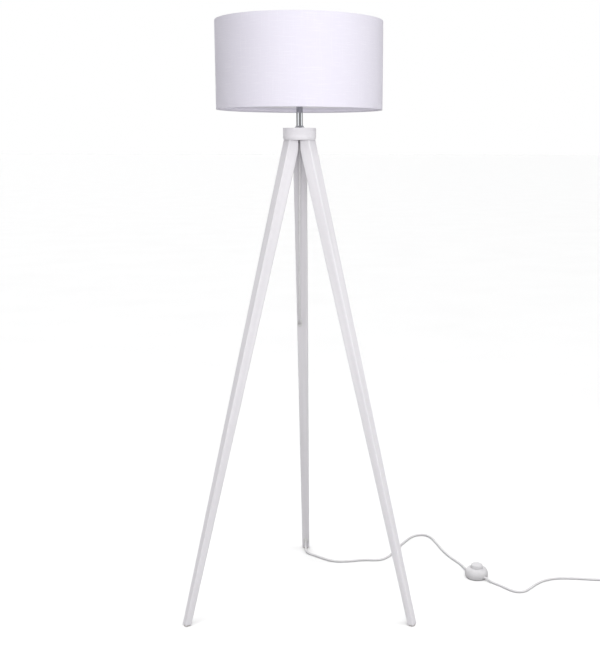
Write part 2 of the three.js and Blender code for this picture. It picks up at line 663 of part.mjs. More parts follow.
// From the lower eyelet to the foot switch.
const SWITCH_ROUTE = [
  [0, 301.4, 20.7],
  [0, 297.2, 15.8],
  [0.6, 290.7, 10.6],
  [2.6, 283.2, 6.6],
  [7, 275, 4.2],
  [14, 267, FLOOR_Z],
  [30, 254, FLOOR_Z],
  [49.5, 237.5, FLOOR_Z],
  [69.5, 222.7, FLOOR_Z],
  [90, 214.8, FLOOR_Z],
  [112, 214, FLOOR_Z],
  [135, 217.4, FLOOR_Z],
  [157, 222.3, FLOOR_Z],
  [179, 224.2, FLOOR_Z],
  [200, 223, FLOOR_Z],
  [219, 227.2, FLOOR_Z],
  [235, 241.8, FLOOR_Z],
  [251.5, 268.6, FLOOR_Z],
  [278, 323.5, FLOOR_Z],
  [297, 360.5, FLOOR_Z],
  [316, 390.3, FLOOR_Z],
  [336.5, 406.5, FLOOR_Z],
  [357, 408, FLOOR_Z],
  [373.5, 391, FLOOR_Z],
  [387, 349.5, FLOOR_Z],
  [402, 289, FLOOR_Z],
  [421, 237, FLOOR_Z],
  [438, 202, FLOOR_Z],
  [445.5, 180.5, 3.9],
  [449, 163.5, 6.2],
  [453, 150.8, 7.5],
  [458.5, 142.4, SWITCH_CORD_Z],
  [463.8, 135.6, SWITCH_CORD_Z],
];

// From the foot switch to the coil, which starts where this ends.
const COIL_ROUTE = [
  [488.2, 104.4, SWITCH_CORD_Z],
  [493.5, 97.6, SWITCH_CORD_Z],
  [498.9, 91.2, 7.4],
  [507.5, 81.8, 4.6],
  [517, 72, FLOOR_Z],
  [529, 59.6, FLOOR_Z],
  [542.3, 43.2, FLOOR_Z],
  [557, 26.5, FLOOR_Z],
  [573, 18, FLOOR_Z],
  [589.6, 21.6, FLOOR_Z],
  [605, 35.6, FLOOR_Z],
  [619.5, 53, FLOOR_Z],
  [636, 71, FLOOR_Z],
  [659, 88.6, FLOOR_Z],
  [691, 100, FLOOR_Z],
  [728, 101.4, FLOOR_Z],
  [766, 97.4, FLOOR_Z],
  [800, 93, FLOOR_Z],
  [832, 90, FLOOR_Z],
  [858, 88.2, FLOOR_Z],
  [880, 87.6, FLOOR_Z],
];

// From the coil to the plug.
const TAIL_ROUTE = [
  [PLUG_X, 152, 9.25],
  [PLUG_X, 168, 8.2],
  [PLUG_X, 184, PLUG_Z],
];

function addFloorCord() {
  piece('cord_to_switch', tube(SWITCH_ROUTE, CORD_RADIUS, 15), whiteCord);
  piece('cord_to_coil', tube(COIL_ROUTE, CORD_RADIUS, 15), whiteCord);
  const [inner, outer] = [COIL_RADIUS - COIL_HALF_WIDTH, COIL_RADIUS + COIL_HALF_WIDTH];
  const round = 2;
  const coil = ring([
    [inner + round, COIL_BOTTOM], [outer - round, COIL_BOTTOM], [outer, COIL_BOTTOM + round],
    [outer, COIL_TOP - round], [outer - round, COIL_TOP], [inner + round, COIL_TOP],
    [inner, COIL_TOP - round], [inner, COIL_BOTTOM + round],
  ], 28);
  piece('cord_coil', coil, whiteCord).position.set(COIL_X, COIL_Y, 0);
  piece('cord_tail', tube(TAIL_ROUTE, CORD_RADIUS, 9), whiteCord);
  addCoilTie(inner, outer);
}

// A flat tie round the coil's turns, on its far side from the entry.
function addCoilTie(inner, outer) {
  const thickness = 1;
  const width = 2 * COIL_HALF_WIDTH + 2 * GAP;
  const height = COIL_TOP - COIL_BOTTOM + 2 * GAP;
  const middle = (COIL_TOP + COIL_BOTTOM) / 2;
  const block = box(0, 0, 0, width + 2 * thickness, 5, height + 2 * thickness);
  const band = cut(block, box(0, 0, 0, width + 0.6, 8, height));
  const angle = THREE.MathUtils.degToRad(135);
  const tie = piece('coil_tie', band, whitePlastic);
  tie.rotation.z = angle;
  const radius = (inner + outer) / 2;
  tie.position.set(COIL_X + radius * Math.cos(angle), COIL_Y + radius * Math.sin(angle), middle);
}

// ---------------------------------------------------------------- plug

const plugGroup = new THREE.Group();
plugGroup.position.set(PLUG_X, 184 + 2 * GAP, PLUG_Z);
lamp.add(plugGroup);

const RELIEF_LENGTH = 30;
const PLUG_LENGTH = 33;
const PLUG_HALF_WIDTH = 17.5;
const PLUG_HALF_HEIGHT = 6.8;
const PIN_SPACING = 18.6;
const PIN_LENGTH = 19;

function addPlug() {
  const add = (name, geometry, finish) => piece(name, geometry, finish, plugGroup);
  const reliefEnd = RELIEF_LENGTH - GAP;
  const relief = turned([[0, 0], [3.9, 0], [5.6, reliefEnd], [0, reliefEnd]], 16);
  add('plug_relief', relief.rotateX(-Math.PI / 2), whitePlastic);
  const outline = new THREE.Shape();
  outline.moveTo(-6, RELIEF_LENGTH);
  outline.lineTo(6, RELIEF_LENGTH);
  outline.quadraticCurveTo(9, RELIEF_LENGTH + 8, PLUG_HALF_WIDTH, RELIEF_LENGTH + 15);
  outline.lineTo(PLUG_HALF_WIDTH, RELIEF_LENGTH + PLUG_LENGTH);
  outline.lineTo(-PLUG_HALF_WIDTH, RELIEF_LENGTH + PLUG_LENGTH);
  outline.lineTo(-PLUG_HALF_WIDTH, RELIEF_LENGTH + 15);
  outline.quadraticCurveTo(-9, RELIEF_LENGTH + 8, -6, RELIEF_LENGTH);
  const options = { depth: 2 * PLUG_HALF_HEIGHT, bevelEnabled: false, curveSegments: 5 };
  const body = new THREE.ExtrudeGeometry(outline, options).translate(0, 0, -PLUG_HALF_HEIGHT);
  add('plug_body', skin(body), whitePlastic);
  const face = RELIEF_LENGTH + PLUG_LENGTH + GAP;
  for (const [name, side] of [['left', -1], ['right', 1]]) {
    const pin = turned([
      [0, face], [2, face], [2, face + PIN_LENGTH - 1.5], [1, face + PIN_LENGTH], [0, face + PIN_LENGTH],
    ], 12);
    pin.rotateX(-Math.PI / 2).translate((side * PIN_SPACING) / 2, 0, 0);
    add(`plug_pin_${name}`, pin, zincSteel);
  }
}

// ---------------------------------------------------------------- the lamp

addLegs();
addHub();
addStem();
addLampholder();
addBulb();
addShade();
addLampCord();
addFootSwitch();
addFloorCord();
addPlug();

export default product;
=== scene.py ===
# Tripod floor lamp: the finished look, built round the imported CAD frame.
# Metres, +Z up, the lamp's front faces -Y. Turned profiles are given in millimetres.
import math

import bmesh
import bpy
from mathutils import Matrix, Vector


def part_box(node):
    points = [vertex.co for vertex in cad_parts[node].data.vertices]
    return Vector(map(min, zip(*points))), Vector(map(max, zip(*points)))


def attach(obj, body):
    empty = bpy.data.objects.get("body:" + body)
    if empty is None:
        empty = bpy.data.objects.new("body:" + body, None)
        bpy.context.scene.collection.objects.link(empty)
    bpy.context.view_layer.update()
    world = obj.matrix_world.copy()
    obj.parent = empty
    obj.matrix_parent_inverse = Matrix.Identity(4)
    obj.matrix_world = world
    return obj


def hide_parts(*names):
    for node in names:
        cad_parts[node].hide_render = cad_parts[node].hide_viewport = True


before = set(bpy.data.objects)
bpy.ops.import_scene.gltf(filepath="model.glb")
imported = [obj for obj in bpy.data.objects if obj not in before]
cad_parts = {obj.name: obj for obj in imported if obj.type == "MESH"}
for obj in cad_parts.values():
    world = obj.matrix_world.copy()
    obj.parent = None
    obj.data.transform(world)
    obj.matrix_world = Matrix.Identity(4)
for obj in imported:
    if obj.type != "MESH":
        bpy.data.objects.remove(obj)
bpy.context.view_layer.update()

# ------------------------------------------------------------------ sizes and places

MM = 0.001
GAP = 0.0003  # between pieces that touch, as in the CAD

SHADE_LOW, SHADE_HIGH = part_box("shade_cover")
SHADE_RADIUS = (SHADE_HIGH.x - SHADE_LOW.x) / 2
SHADE_HEIGHT = SHADE_HIGH.z - SHADE_LOW.z
AXIS = Vector((0, (SHADE_LOW.y + SHADE_HIGH.y) / 2, 0))  # where the lamp's axis meets the floor

LEG_ANGLES = {"front_left": 210, "front_right": 330, "rear": 90}
LEG_TOP_WIDTH, LEG_TOP_DEPTH = 0.0335, 0.031
LEG_FOOT_WIDTH, LEG_FOOT_DEPTH = 0.020, 0.0165
LEG_TOP_RADIUS = 0.0203  # lamp axis to the leg's centre line
LEG_FOOT_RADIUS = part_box("leg_rear")[1].y - AXIS.y - LEG_FOOT_DEPTH / 2
LEG_BOTTOM, LEG_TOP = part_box("leg_rear")[0].z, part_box("leg_rear")[1].z
LEG_SLOPE = (LEG_FOOT_RADIUS - LEG_TOP_RADIUS) / (LEG_TOP - LEG_BOTTOM)
LEG_MITRE_GAP = 0.005
BOLT_CIRCLE = 0.025
BORE_RADIUS = 0.0043

CORD_RADIUS = 0.003
FLOOR_Z = CORD_RADIUS + 0.0001  # centre line of a cord that lies on the floor
SWITCH_CORD_Z = 0.0078  # where the cord goes through the foot switch
ENTRY_Z, ENTRY_SIDE = 0.705, 0.0065  # where the cord goes into the rear leg
EXIT_Z = 0.028  # where it comes out again


def middle(node):
    low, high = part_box(node)
    return (low + high) / 2


def height_mm(node):
    low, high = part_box(node)
    return 1000 * (high.z - low.z)


def turn(axis, degrees):
    return Matrix.Rotation(math.radians(degrees), 4, axis)


def stand(node):
    """A place on the floor plan's middle of a CAD node, at the height of its underside."""
    low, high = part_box(node)
    return Matrix.Translation(((low.x + high.x) / 2, (low.y + high.y) / 2, low.z))


# ------------------------------------------------------------------ materials


class Surface:
    """One material: a Principled shader whose colour, roughness and normal get procedural detail."""

    def __init__(self, name, color, roughness, **uniform):
        self.material = bpy.data.materials.new(name)
        self.material.use_nodes = True
        self.nodes, self.links = self.material.node_tree.nodes, self.material.node_tree.links
        self.shader = self.nodes["Principled BSDF"]
        self.color = (*color, 1)
        self.shader.inputs["Base Color"].default_value = self.color
        self.shader.inputs["Roughness"].default_value = roughness
        for key, value in uniform.items():
            self.shader.inputs[key.replace("_", " ")].default_value = value
        self.place = self.add("TexCoord").outputs["Object"]

    def add(self, kind, inputs=(), **settings):
        node = self.nodes.new("ShaderNode" + kind)
        for key, value in settings.items():
            setattr(node, key, value)
        for key, value in dict(inputs).items():
            if isinstance(value, bpy.types.NodeSocket):
                self.links.new(value, node.inputs[key])
            else:
                node.inputs[key].default_value = value
        return node

    def math(self, operation, a, b=0.0):
        return self.add("Math", {0: a, 1: b}, operation=operation).outputs[0]

    def noise(self, size, detail=2, stretch=(1, 1, 1)):
        """Noise with features of a size in metres, longer along an axis with a larger stretch."""
        scale = [1 / (size * s) for s in stretch]
        mapping = self.add("Mapping", {"Vector": self.place, "Scale": scale})
        inputs = {"Vector": mapping.outputs[0], "Scale": 1, "Detail": detail}
        return self.add("TexNoise", inputs).outputs[0]

    def between(self, value, start, end, low=0.0, high=1.0):
        """low to high while value goes from start to end."""
        inputs = {"Value": value, "From Min": start, "From Max": end, "To Min": low, "To Max": high}
        return self.add("MapRange", inputs).outputs[0]

    def tint(self, factor, color):
        """Goes over to another colour where factor nears 1."""
        before = self.shader.inputs["Base Color"]
        base = before.links[0].from_socket if before.is_linked else self.color
        mix = self.add("Mix", {0: factor, 6: base, 7: (*color, 1)}, data_type="RGBA")
        self.links.new(mix.outputs[2], before)

    def gloss(self, factor, smooth, rough):
        self.links.new(self.between(factor, 0.3, 0.7, smooth, rough), self.shader.inputs["Roughness"])

    def bump(self, height, distance, strength=1.0):
        before = self.shader.inputs["Normal"]
        inputs = {"Height": height, "Distance": distance, "Strength": strength}
        if before.is_linked:
            inputs["Normal"] = before.links[0].from_socket
        self.links.new(self.add("Bump", inputs).outputs[0], before)


def painted_wood(name, white=0.755, along=(1, 1, 30)):
    """Satin white paint over close-grained wood whose grain runs the way that along stretches."""
    color = (white, 0.977 * white, 1.018 * white)
    surface = Surface(name, color, 0.46, Coat_Weight=0.05, Coat_Roughness=0.3)
    grain = surface.noise(0.0011, 3, along)
    boards = surface.noise(0.012, 2, along)
    surface.tint(surface.between(boards, 0.35, 0.7), [1.07 * c for c in color])
    surface.tint(surface.between(grain, 0.6, 0.75, 0, 0.35), [0.9 * c for c in color])
    # Painted highlight: the rounded edges are tinted lighter than the flat faces, as if they caught the
    # light.
    edge = surface.add("NewGeometry").outputs["Pointiness"]
    surface.tint(surface.between(edge, 0.54, 0.64, 0, 0.5), (0.83, 0.815, 0.82))
    surface.gloss(surface.noise(0.004, 3, along), 0.36, 0.5)
    surface.bump(grain, 0.00016)
    surface.bump(surface.noise(0.0016, 2), 0.00005)
    return surface.material


def chrome_plate():
    surface = Surface("chrome_plate", (0.53, 0.54, 0.56), 0.08, Metallic=1.0)
    surface.gloss(surface.noise(0.006, 4), 0.03, 0.09)
    surface.tint(surface.between(surface.noise(0.015), 0.4, 0.75), (0.48, 0.49, 0.515))
    surface.bump(surface.noise(0.0006, 2, (25, 25, 1)), 0.0000008)
    return surface.material


def plated_steel():
    surface = Surface("plated_steel", (0.62, 0.63, 0.65), 0.3, Metallic=1.0)
    surface.tint(surface.between(surface.noise(0.003, 4), 0.35, 0.7), (0.52, 0.54, 0.55))
    surface.gloss(surface.noise(0.0015, 4), 0.22, 0.42)
    surface.bump(surface.noise(0.0004, 3), 0.00002)
    return surface.material


def brass_contact():
    surface = Surface("brass_contact", (0.74, 0.55, 0.24), 0.25, Metallic=1.0)
    surface.tint(surface.between(surface.noise(0.004, 4), 0.4, 0.75), (0.55, 0.38, 0.15))
    surface.gloss(surface.noise(0.002, 3), 0.18, 0.38)
    surface.bump(surface.noise(0.0008, 2, (12, 12, 1)), 0.00002)
    return surface.material


def shade_fabric():
    """A plain weave of slightly uneven threads, round the shade and up it."""
    sheen = {"Sheen_Weight": 0.25, "Sheen_Roughness": 0.5}
    surface = Surface("shade_fabric", (0.77, 0.742, 0.833), 0.85, **sheen)
    threads = 1400  # up-and-down threads round the shade
    pitch = 2 * math.pi * SHADE_RADIUS / threads
    split = surface.add("SeparateXYZ", {0: surface.place}).outputs
    round_shade = surface.math("MULTIPLY", surface.math("ARCTAN2", split["Y"], split["X"]), threads / 2)
    up_shade = surface.math("MULTIPLY", split["Z"], math.pi / pitch)
    across, upright = surface.math("SINE", round_shade), surface.math("SINE", up_shade)
    weave = surface.math("ABSOLUTE", surface.math("MULTIPLY", across, upright))
    level_slub = surface.noise(0.0012, 2, (30, 30, 1))
    upright_slub = surface.noise(0.0014, 2, (1, 1, 60))
    surface.tint(surface.between(weave, 0.0, 0.5, 0.45, 0), (0.70, 0.675, 0.775))
    surface.tint(surface.between(level_slub, 0.56, 0.72, 0, 0.4), (0.86, 0.84, 0.91))
    surface.tint(surface.between(upright_slub, 0.58, 0.74, 0, 0.35), (0.85, 0.83, 0.905))
    surface.gloss(surface.noise(0.02), 0.78, 0.92)
    surface.bump(weave, 0.00022)
    surface.bump(surface.math("ADD", level_slub, upright_slub), 0.0003, 0.6)
    return surface.material


def shade_liner():
    """The stiff white plastic that the fabric is laminated on."""
    surface = Surface("shade_liner", (0.80, 0.785, 0.82), 0.4, Coat_Weight=0.1)
    surface.tint(surface.between(surface.noise(0.03, 3), 0.35, 0.7), (0.84, 0.825, 0.855))
    surface.gloss(surface.noise(0.01, 3), 0.32, 0.5)
    surface.bump(surface.noise(0.0007, 2), 0.00004)
    surface.bump(surface.noise(0.012, 1, (1, 1, 12)), 0.0002)
    return surface.material


def moulded_plastic(name, color, roughness, grain=0.0005, depth=0.00003):
    """Injection-moulded plastic: a fine spark-eroded grain and faint uneven gloss."""
    surface = Surface(name, color, roughness, Coat_Weight=0.08, Coat_Roughness=0.3)
    darker = [0.93 * c for c in color]
    surface.tint(surface.between(surface.noise(0.009, 3), 0.35, 0.75), darker)
    surface.gloss(surface.noise(0.003, 3), roughness - 0.06, roughness + 0.08)
    surface.bump(surface.noise(grain, 2), depth)
    return surface.material


def painted_wire():
    surface = Surface("white_wire", (0.80, 0.79, 0.80), 0.38, Coat_Weight=0.2)
    surface.tint(surface.between(surface.noise(0.01, 3), 0.4, 0.7), (0.75, 0.74, 0.75))
    surface.gloss(surface.noise(0.004), 0.3, 0.46)
    surface.bump(surface.noise(0.0012, 2), 0.00006)
    return surface.material


def pressed_felt():
    surface = Surface("felt_pad", (0.60, 0.57, 0.54), 0.95, Sheen_Weight=0.6, Sheen_Roughness=0.6)
    surface.tint(surface.between(surface.noise(0.0006, 4), 0.35, 0.65), (0.45, 0.42, 0.39))
    surface.tint(surface.between(surface.noise(0.0015, 3, (4, 1, 1)), 0.6, 0.7), (0.72, 0.70, 0.66))
    surface.bump(surface.noise(0.0005, 5), 0.0004)
    return surface.material


def grip_rubber():
    surface = Surface("rubber_mat", (0.33, 0.33, 0.335), 0.75)
    cells = surface.add("TexVoronoi", {"Vector": surface.place, "Scale": 700}).outputs["Distance"]
    surface.tint(surface.between(surface.noise(0.004, 4), 0.4, 0.7), (0.27, 0.27, 0.275))
    surface.gloss(surface.noise(0.002, 3), 0.65, 0.85)
    surface.bump(cells, 0.0002)
    return surface.material


def glazed_ceramic():
    surface = Surface("ceramic_white", (0.80, 0.785, 0.74), 0.35, Coat_Weight=0.3)
    surface.tint(surface.between(surface.noise(0.0008, 3), 0.62, 0.72, 0, 0.6), (0.62, 0.59, 0.53))
    surface.gloss(surface.noise(0.003, 3), 0.28, 0.45)
    surface.bump(surface.noise(0.0009, 3), 0.00005)
    return surface.material


def opal_glass():
    surface = Surface("opal_glass", (0.86, 0.85, 0.82), 0.14, Coat_Weight=0.6, Coat_Roughness=0.05)
    surface.tint(surface.between(surface.noise(0.02, 2), 0.35, 0.7), (0.83, 0.82, 0.80))
    surface.gloss(surface.noise(0.01, 3), 0.1, 0.2)
    surface.bump(surface.noise(0.008, 1), 0.00006)
    return surface.material


def cord_sheath():
    """Soft PVC with a faint orange peel and a little dust from the floor."""
    surface = Surface("cord_sheath", (0.70, 0.69, 0.705), 0.45, Coat_Weight=0.1)
    surface.tint(surface.between(surface.noise(0.012, 3), 0.45, 0.75, 0, 0.7), (0.63, 0.62, 0.63))
    surface.gloss(surface.noise(0.004, 3), 0.38, 0.56)
    surface.bump(surface.noise(0.0011, 2), 0.00006)
    return surface.material


def plain_floor():
    """A white floor that throws only some of its light back up at the lamp."""
    surface = Surface("plain_floor", (0.93, 0.93, 0.93), 0.9)
    surface.tint(surface.between(surface.noise(0.6, 3), 0.3, 0.7), (0.95, 0.95, 0.95))
    seen = surface.add("LightPath").outputs["Is Camera Ray"]
    surface.tint(surface.math("SUBTRACT", 1.0, seen), (0.42, 0.42, 0.42))
    return surface.material


MATERIALS = {
    "painted_wood": painted_wood("painted_wood"),
    "chrome_plate": chrome_plate(),
    "plated_steel": plated_steel(),
    "brass_contact": brass_contact(),
    "shade_fabric": shade_fabric(),
    "white_wire": painted_wire(),
    "white_plastic": moulded_plastic("white_plastic", (0.74, 0.735, 0.73), 0.38),
    "switch_plastic": moulded_plastic("switch_plastic", (0.66, 0.65, 0.665), 0.32, 0.0006, 0.00004),
    "plug_plastic": moulded_plastic("plug_plastic", (0.70, 0.695, 0.70), 0.42, 0.0007, 0.00006),
    "tie_plastic": moulded_plastic("tie_plastic", (0.035, 0.035, 0.036), 0.4),
    "felt_pad": pressed_felt(),
    "rubber_mat": grip_rubber(),
    "ceramic_white": glazed_ceramic(),
    "opal_glass": opal_glass(),
    "cord_sheath": cord_sheath(),
}


# ------------------------------------------------------------------ pieces


def put(obj, slot, *nodes, body="lamp", material=None):
    """Gives obj its material, and puts it on a body in place of the CAD nodes that it stands for."""
    obj.data.materials.append(material or MATERIALS[slot])
    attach(obj, body)
    if nodes:
        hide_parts(*nodes)
    return obj


def new_object(name, data):
    obj = bpy.data.objects.new(name, data)
    bpy.context.scene.collection.objects.link(obj)
    return obj


def evaluated_mesh(obj):
    """A mesh of the object as its modifiers or its curve settings make it."""
    bpy.context.view_layer.update()
    graph = bpy.context.evaluated_depsgraph_get()
    return bpy.data.meshes.new_from_object(obj.evaluated_get(graph))


def even_shading(obj):
    """Keeps wide faces flat in the light, so that only the rounded edges turn it."""
    obj.modifiers.new("even_shading", "WEIGHTED_NORMAL").keep_sharp = True


def mesh_object(name, bm, place=None, sharp=32):
    """An object from a bmesh, smooth but for edges sharper than an angle in degrees."""
    bmesh.ops.recalc_face_normals(bm, faces=bm.faces)
    mesh = bpy.data.meshes.new(name)
    bm.to_mesh(mesh)
    bm.free()
    mesh.shade_smooth()
    mesh.set_sharp_from_angle(angle=math.radians(sharp))
    obj = new_object(name, mesh)
    obj.matrix_world = place or Matrix()
    even_shading(obj)
    return obj


def eased(outline, steps=4):
    """The outline with round corners: a point is (x, y), or (x, y, size of the rounding)."""
    points = []
    for i, corner in enumerate(outline):
        here = Vector(corner[:2])
        if len(corner) == 2:
            points.append(here)
            continue
        before, after = Vector(outline[i - 1][:2]), Vector(outline[(i + 1) % len(outline)][:2])
        start = here + (before - here).normalized() * corner[2]
        end = here + (after - here).normalized() * corner[2]
        for step in range(steps + 1):
            t = step / steps
            points.append(start * (1 - t) ** 2 + here * 2 * t * (1 - t) + end * t**2)
    return points


def turned(profile, closed=False, segments=96, waves=None, bm=None):
    """A turned solid about Z from (radius, height) points in millimetres.
    closed joins the last point to the first. waves(angle, height) adds to the radius."""
    bm = bm or bmesh.new()
    rings = []
    for radius, height in profile:
        count = segments if radius > 1e-4 else 1
        ring = []
        for k in range(count):
            angle = 2 * math.pi * k / count
            reach = MM * (radius + (waves(angle, height) if waves and count > 1 else 0))
            ring.append(bm.verts.new((reach * math.cos(angle), reach * math.sin(angle), MM * height)))
        rings.append(ring)
    for lower, upper in zip(rings, rings[1:] + rings[:1] if closed else rings[1:]):
        for k in range(segments):
            corners = [lower[k % len(lower)], lower[(k + 1) % len(lower)]]
            corners += [upper[(k + 1) % len(upper)], upper[k % len(upper)]]
            corners = list(dict.fromkeys(corners))
            if len(corners) > 2:
                bm.faces.new(corners)
    return bm


def turned_piece(name, profile, slot, node, **shape):
    """A closed turned ring, put in the place of its CAD node."""
    return put(mesh_object(name, turned(profile, closed=True, **shape), stand(node)), slot, node)


def skin(bm, rings, closed=True):
    """Faces from each ring of points to the next. closed joins the last to the first."""
    for lower, upper in zip(rings, rings[1:] + rings[:1] if closed else rings[1:]):
        for k in range(len(lower)):
            after = (k + 1) % len(lower)
            bm.faces.new((lower[k], lower[after], upper[after], upper[k]))


def round_section(radius, height, wire, sides=14):
    """The profile of a wire ring."""
    angles = [2 * math.pi * k / sides for k in range(sides)]
    return [(radius + wire * math.cos(a), height + wire * math.sin(a)) for a in angles]


def grown(points, steps):
    """The profile with steps more points on each side, for waves to act on."""
    out = []
    for a, b in zip(points, points[1:]):
        out += [Vector(a).lerp(Vector(b), k / steps) for k in range(steps)]
    return out + [Vector(points[-1])]


def round_curve(name, points, radius):
    """A round bar along a smooth curve through points."""
    curve = bpy.data.curves.new(name, "CURVE")
    curve.dimensions = "3D"
    curve.bevel_depth = radius
    curve.bevel_resolution = 6
    curve.resolution_u = 8
    curve.use_fill_caps = True
    spline = curve.splines.new("BEZIER")
    spline.bezier_points.add(len(points) - 1)
    for knot, point in zip(spline.bezier_points, points):
        knot.co = point
        knot.handle_left_type = knot.handle_right_type = "AUTO"
    return new_object(name, curve)


def drilled(obj, *tools, sharp=32):
    """Cuts the tools out of obj and removes them."""
    for tool in tools:
        cut = obj.modifiers.new("cut", "BOOLEAN")
        cut.operation = "DIFFERENCE"
        cut.solver = "EXACT"
        cut.object = tool
    result = evaluated_mesh(obj)
    obj.modifiers.clear()
    obj.data = result
    result.shade_smooth()
    result.set_sharp_from_angle(angle=math.radians(sharp))
    even_shading(obj)
    for tool in tools:
        bpy.data.objects.remove(tool)
    return obj


def drill(radius, bottom, top, place):
    """A cylinder to cut with. The sizes are in millimetres."""
    profile = [(0, bottom), (radius, bottom), (radius, top), (0, top)]
    return mesh_object("drill", turned(profile, segments=48), place)


# ------------------------------------------------------------------ camera

IMAGE_LONG_SIDE = 650
FOCAL_LENGTH = 981.6  # in pixels
FRAMING_SHIFT = 45  # pixels, the picture's middle to the lens's axis
CAMERA_DISTANCE = 2.4181  # from the lamp's axis
CAMERA_HEIGHT = 1.1585
CAMERA_TURN = 2.185  # degrees round the lamp, to its right
CAMERA_HEADING = -2.634  # degrees away from the lamp's axis
CAMERA_PITCH = 10.178  # degrees down
CAMERA_ROLL = 0.168


def add_camera():
    camera = new_object("camera", bpy.data.cameras.new("camera"))
    camera.data.lens = camera.data.sensor_width * FOCAL_LENGTH / IMAGE_LONG_SIDE
    camera.data.shift_x = -FRAMING_SHIFT / IMAGE_LONG_SIDE
    place = Matrix.Translation(AXIS) @ turn("Z", CAMERA_TURN)
    place = place @ Matrix.Translation((0, -CAMERA_DISTANCE, CAMERA_HEIGHT))
    heading = turn("Z", CAMERA_HEADING) @ turn("X", 90 - CAMERA_PITCH)
    camera.matrix_world = place @ heading @ turn("Z", CAMERA_ROLL)
    bpy.context.scene.camera = camera


# ------------------------------------------------------------------ cords


def leg_radius(z):
    """Lamp axis to a leg's centre line at a height."""
    return LEG_TOP_RADIUS + (LEG_TOP - z) * LEG_SLOPE


# In the rear leg's plane, which is Y and Z: down along it and outwards through it.
DOWN_LEG = Vector((0, LEG_SLOPE, -1)).normalized()
INTO_LEG = Vector((0, 1, LEG_SLOPE)).normalized()


def in_rear_leg(height, down, across, out):
    """A place in the rear leg: distance down it from a height, across it and out of its middle."""
    start = Vector((-across, leg_radius(height), height))
    return start + DOWN_LEG * down + INTO_LEG * out


def in_rear_leg_all(height, places):
    return [in_rear_leg(height, *place) for place in places]


def on_floor(points):
    return [(x, y, FLOOR_Z) for x, y in points]


def on_lamp(points):
    return [AXIS + Vector(point) for point in points]


# From under the hub down to the rear leg, with a little slack.
HANGING_ROUTE = [
    (0, 0, 1.1784),
    (0, 0.0002, 1.163),
    (-0.0002, 0.0016, 1.142),
    (-0.0008, 0.0066, 1.102),
    (-0.002, 0.0164, 1.05),
    (-0.0032, 0.0277, 1.0),
    (-0.0042, 0.0395, 0.95),
    (-0.0051, 0.0522, 0.9),
    (-0.0058, 0.066, 0.85),
    (-0.0062, 0.0808, 0.802),
    (-0.0065, 0.0956, 0.761),
    *in_rear_leg_all(ENTRY_Z, [
        (-0.034, ENTRY_SIDE, -0.0245), (-0.022, ENTRY_SIDE, -0.0216),
        (-0.0127, ENTRY_SIDE, -0.01815), (-0.0115, ENTRY_SIDE, -0.0175),
    ]),
]

LEG_ROUTE = [
    *in_rear_leg_all(ENTRY_Z, [
        (-0.012, ENTRY_SIDE, -0.0178), (-0.005, ENTRY_SIDE, -0.0132),
        (0.002, ENTRY_SIDE, -0.0076), (0.009, ENTRY_SIDE, -0.0034),
        (0.018, ENTRY_SIDE - 0.0005, -0.0009), (0.040, ENTRY_SIDE - 0.002, 0),
        (0.090, 0.001, 0), (0.150, 0, 0), (0.450, 0, 0),
    ]),
    *in_rear_leg_all(EXIT_Z, [
        (-0.120, 0, 0), (-0.060, 0, 0), (-0.032, 0, 0), (-0.018, 0, -0.0012),
        (-0.009, 0, -0.0042), (-0.002, 0, -0.0086), (0.0035, 0, -0.0135),
    ]),
]

# From the foot of the rear leg to the foot switch.
SWITCH_ROUTE = [
    (0, 0.3014, 0.0207),
    (0, 0.2972, 0.0158),
    (0.0006, 0.2907, 0.0106),
    (0.0026, 0.2832, 0.0066),
    (0.007, 0.275, 0.0042),
    *on_floor([
        (0.014, 0.267), (0.03, 0.254), (0.0495, 0.2375), (0.0695, 0.2227), (0.09, 0.2148),
        (0.112, 0.214), (0.135, 0.2174), (0.157, 0.2223), (0.179, 0.2242), (0.2, 0.223),
        (0.219, 0.2272), (0.235, 0.2418), (0.2515, 0.2686), (0.278, 0.3235), (0.297, 0.3605),
        (0.316, 0.3903), (0.3365, 0.4065), (0.357, 0.408), (0.3735, 0.391), (0.387, 0.3495),
        (0.402, 0.289), (0.421, 0.237), (0.438, 0.202),
    ]),
    (0.4455, 0.1805, 0.0039),
    (0.449, 0.1635, 0.0062),
    (0.453, 0.1508, 0.0075),
    (0.4585, 0.1424, SWITCH_CORD_Z),
    (0.4638, 0.1356, SWITCH_CORD_Z),
]

# From the foot switch to the coil.
COIL_ROUTE = [
    (0.4882, 0.1044, SWITCH_CORD_Z),
    (0.4935, 0.0976, SWITCH_CORD_Z),
    (0.4989, 0.0912, 0.0074),
    (0.5075, 0.0818, 0.0046),
    *on_floor([
        (0.517, 0.072), (0.529, 0.0596), (0.5423, 0.0432), (0.557, 0.0265), (0.573, 0.018),
        (0.5896, 0.0216), (0.605, 0.0356), (0.6195, 0.053), (0.636, 0.071), (0.659, 0.0886),
        (0.691, 0.1), (0.728, 0.1014), (0.766, 0.0974), (0.8, 0.093), (0.832, 0.09),
        (0.858, 0.0882),
    ]),
]

COIL_CENTRE = middle("cord_coil") - AXIS
COIL_INNER_TURN, COIL_OUTER_TURN, COIL_OUTSIDE = 0.0298, 0.0361, 0.0424
COIL_TOP_TURN_RISE = 0.00615
TIE_ANGLE = 135  # degrees round the coil
TIE_THICKNESS = 0.0009


def eased_step(value, start, end):
    """0 before start, 1 after end, and a smooth way between."""
    t = min(1.0, max(0.0, (value - start) / (end - start)))
    return t * t * (3 - 2 * t)


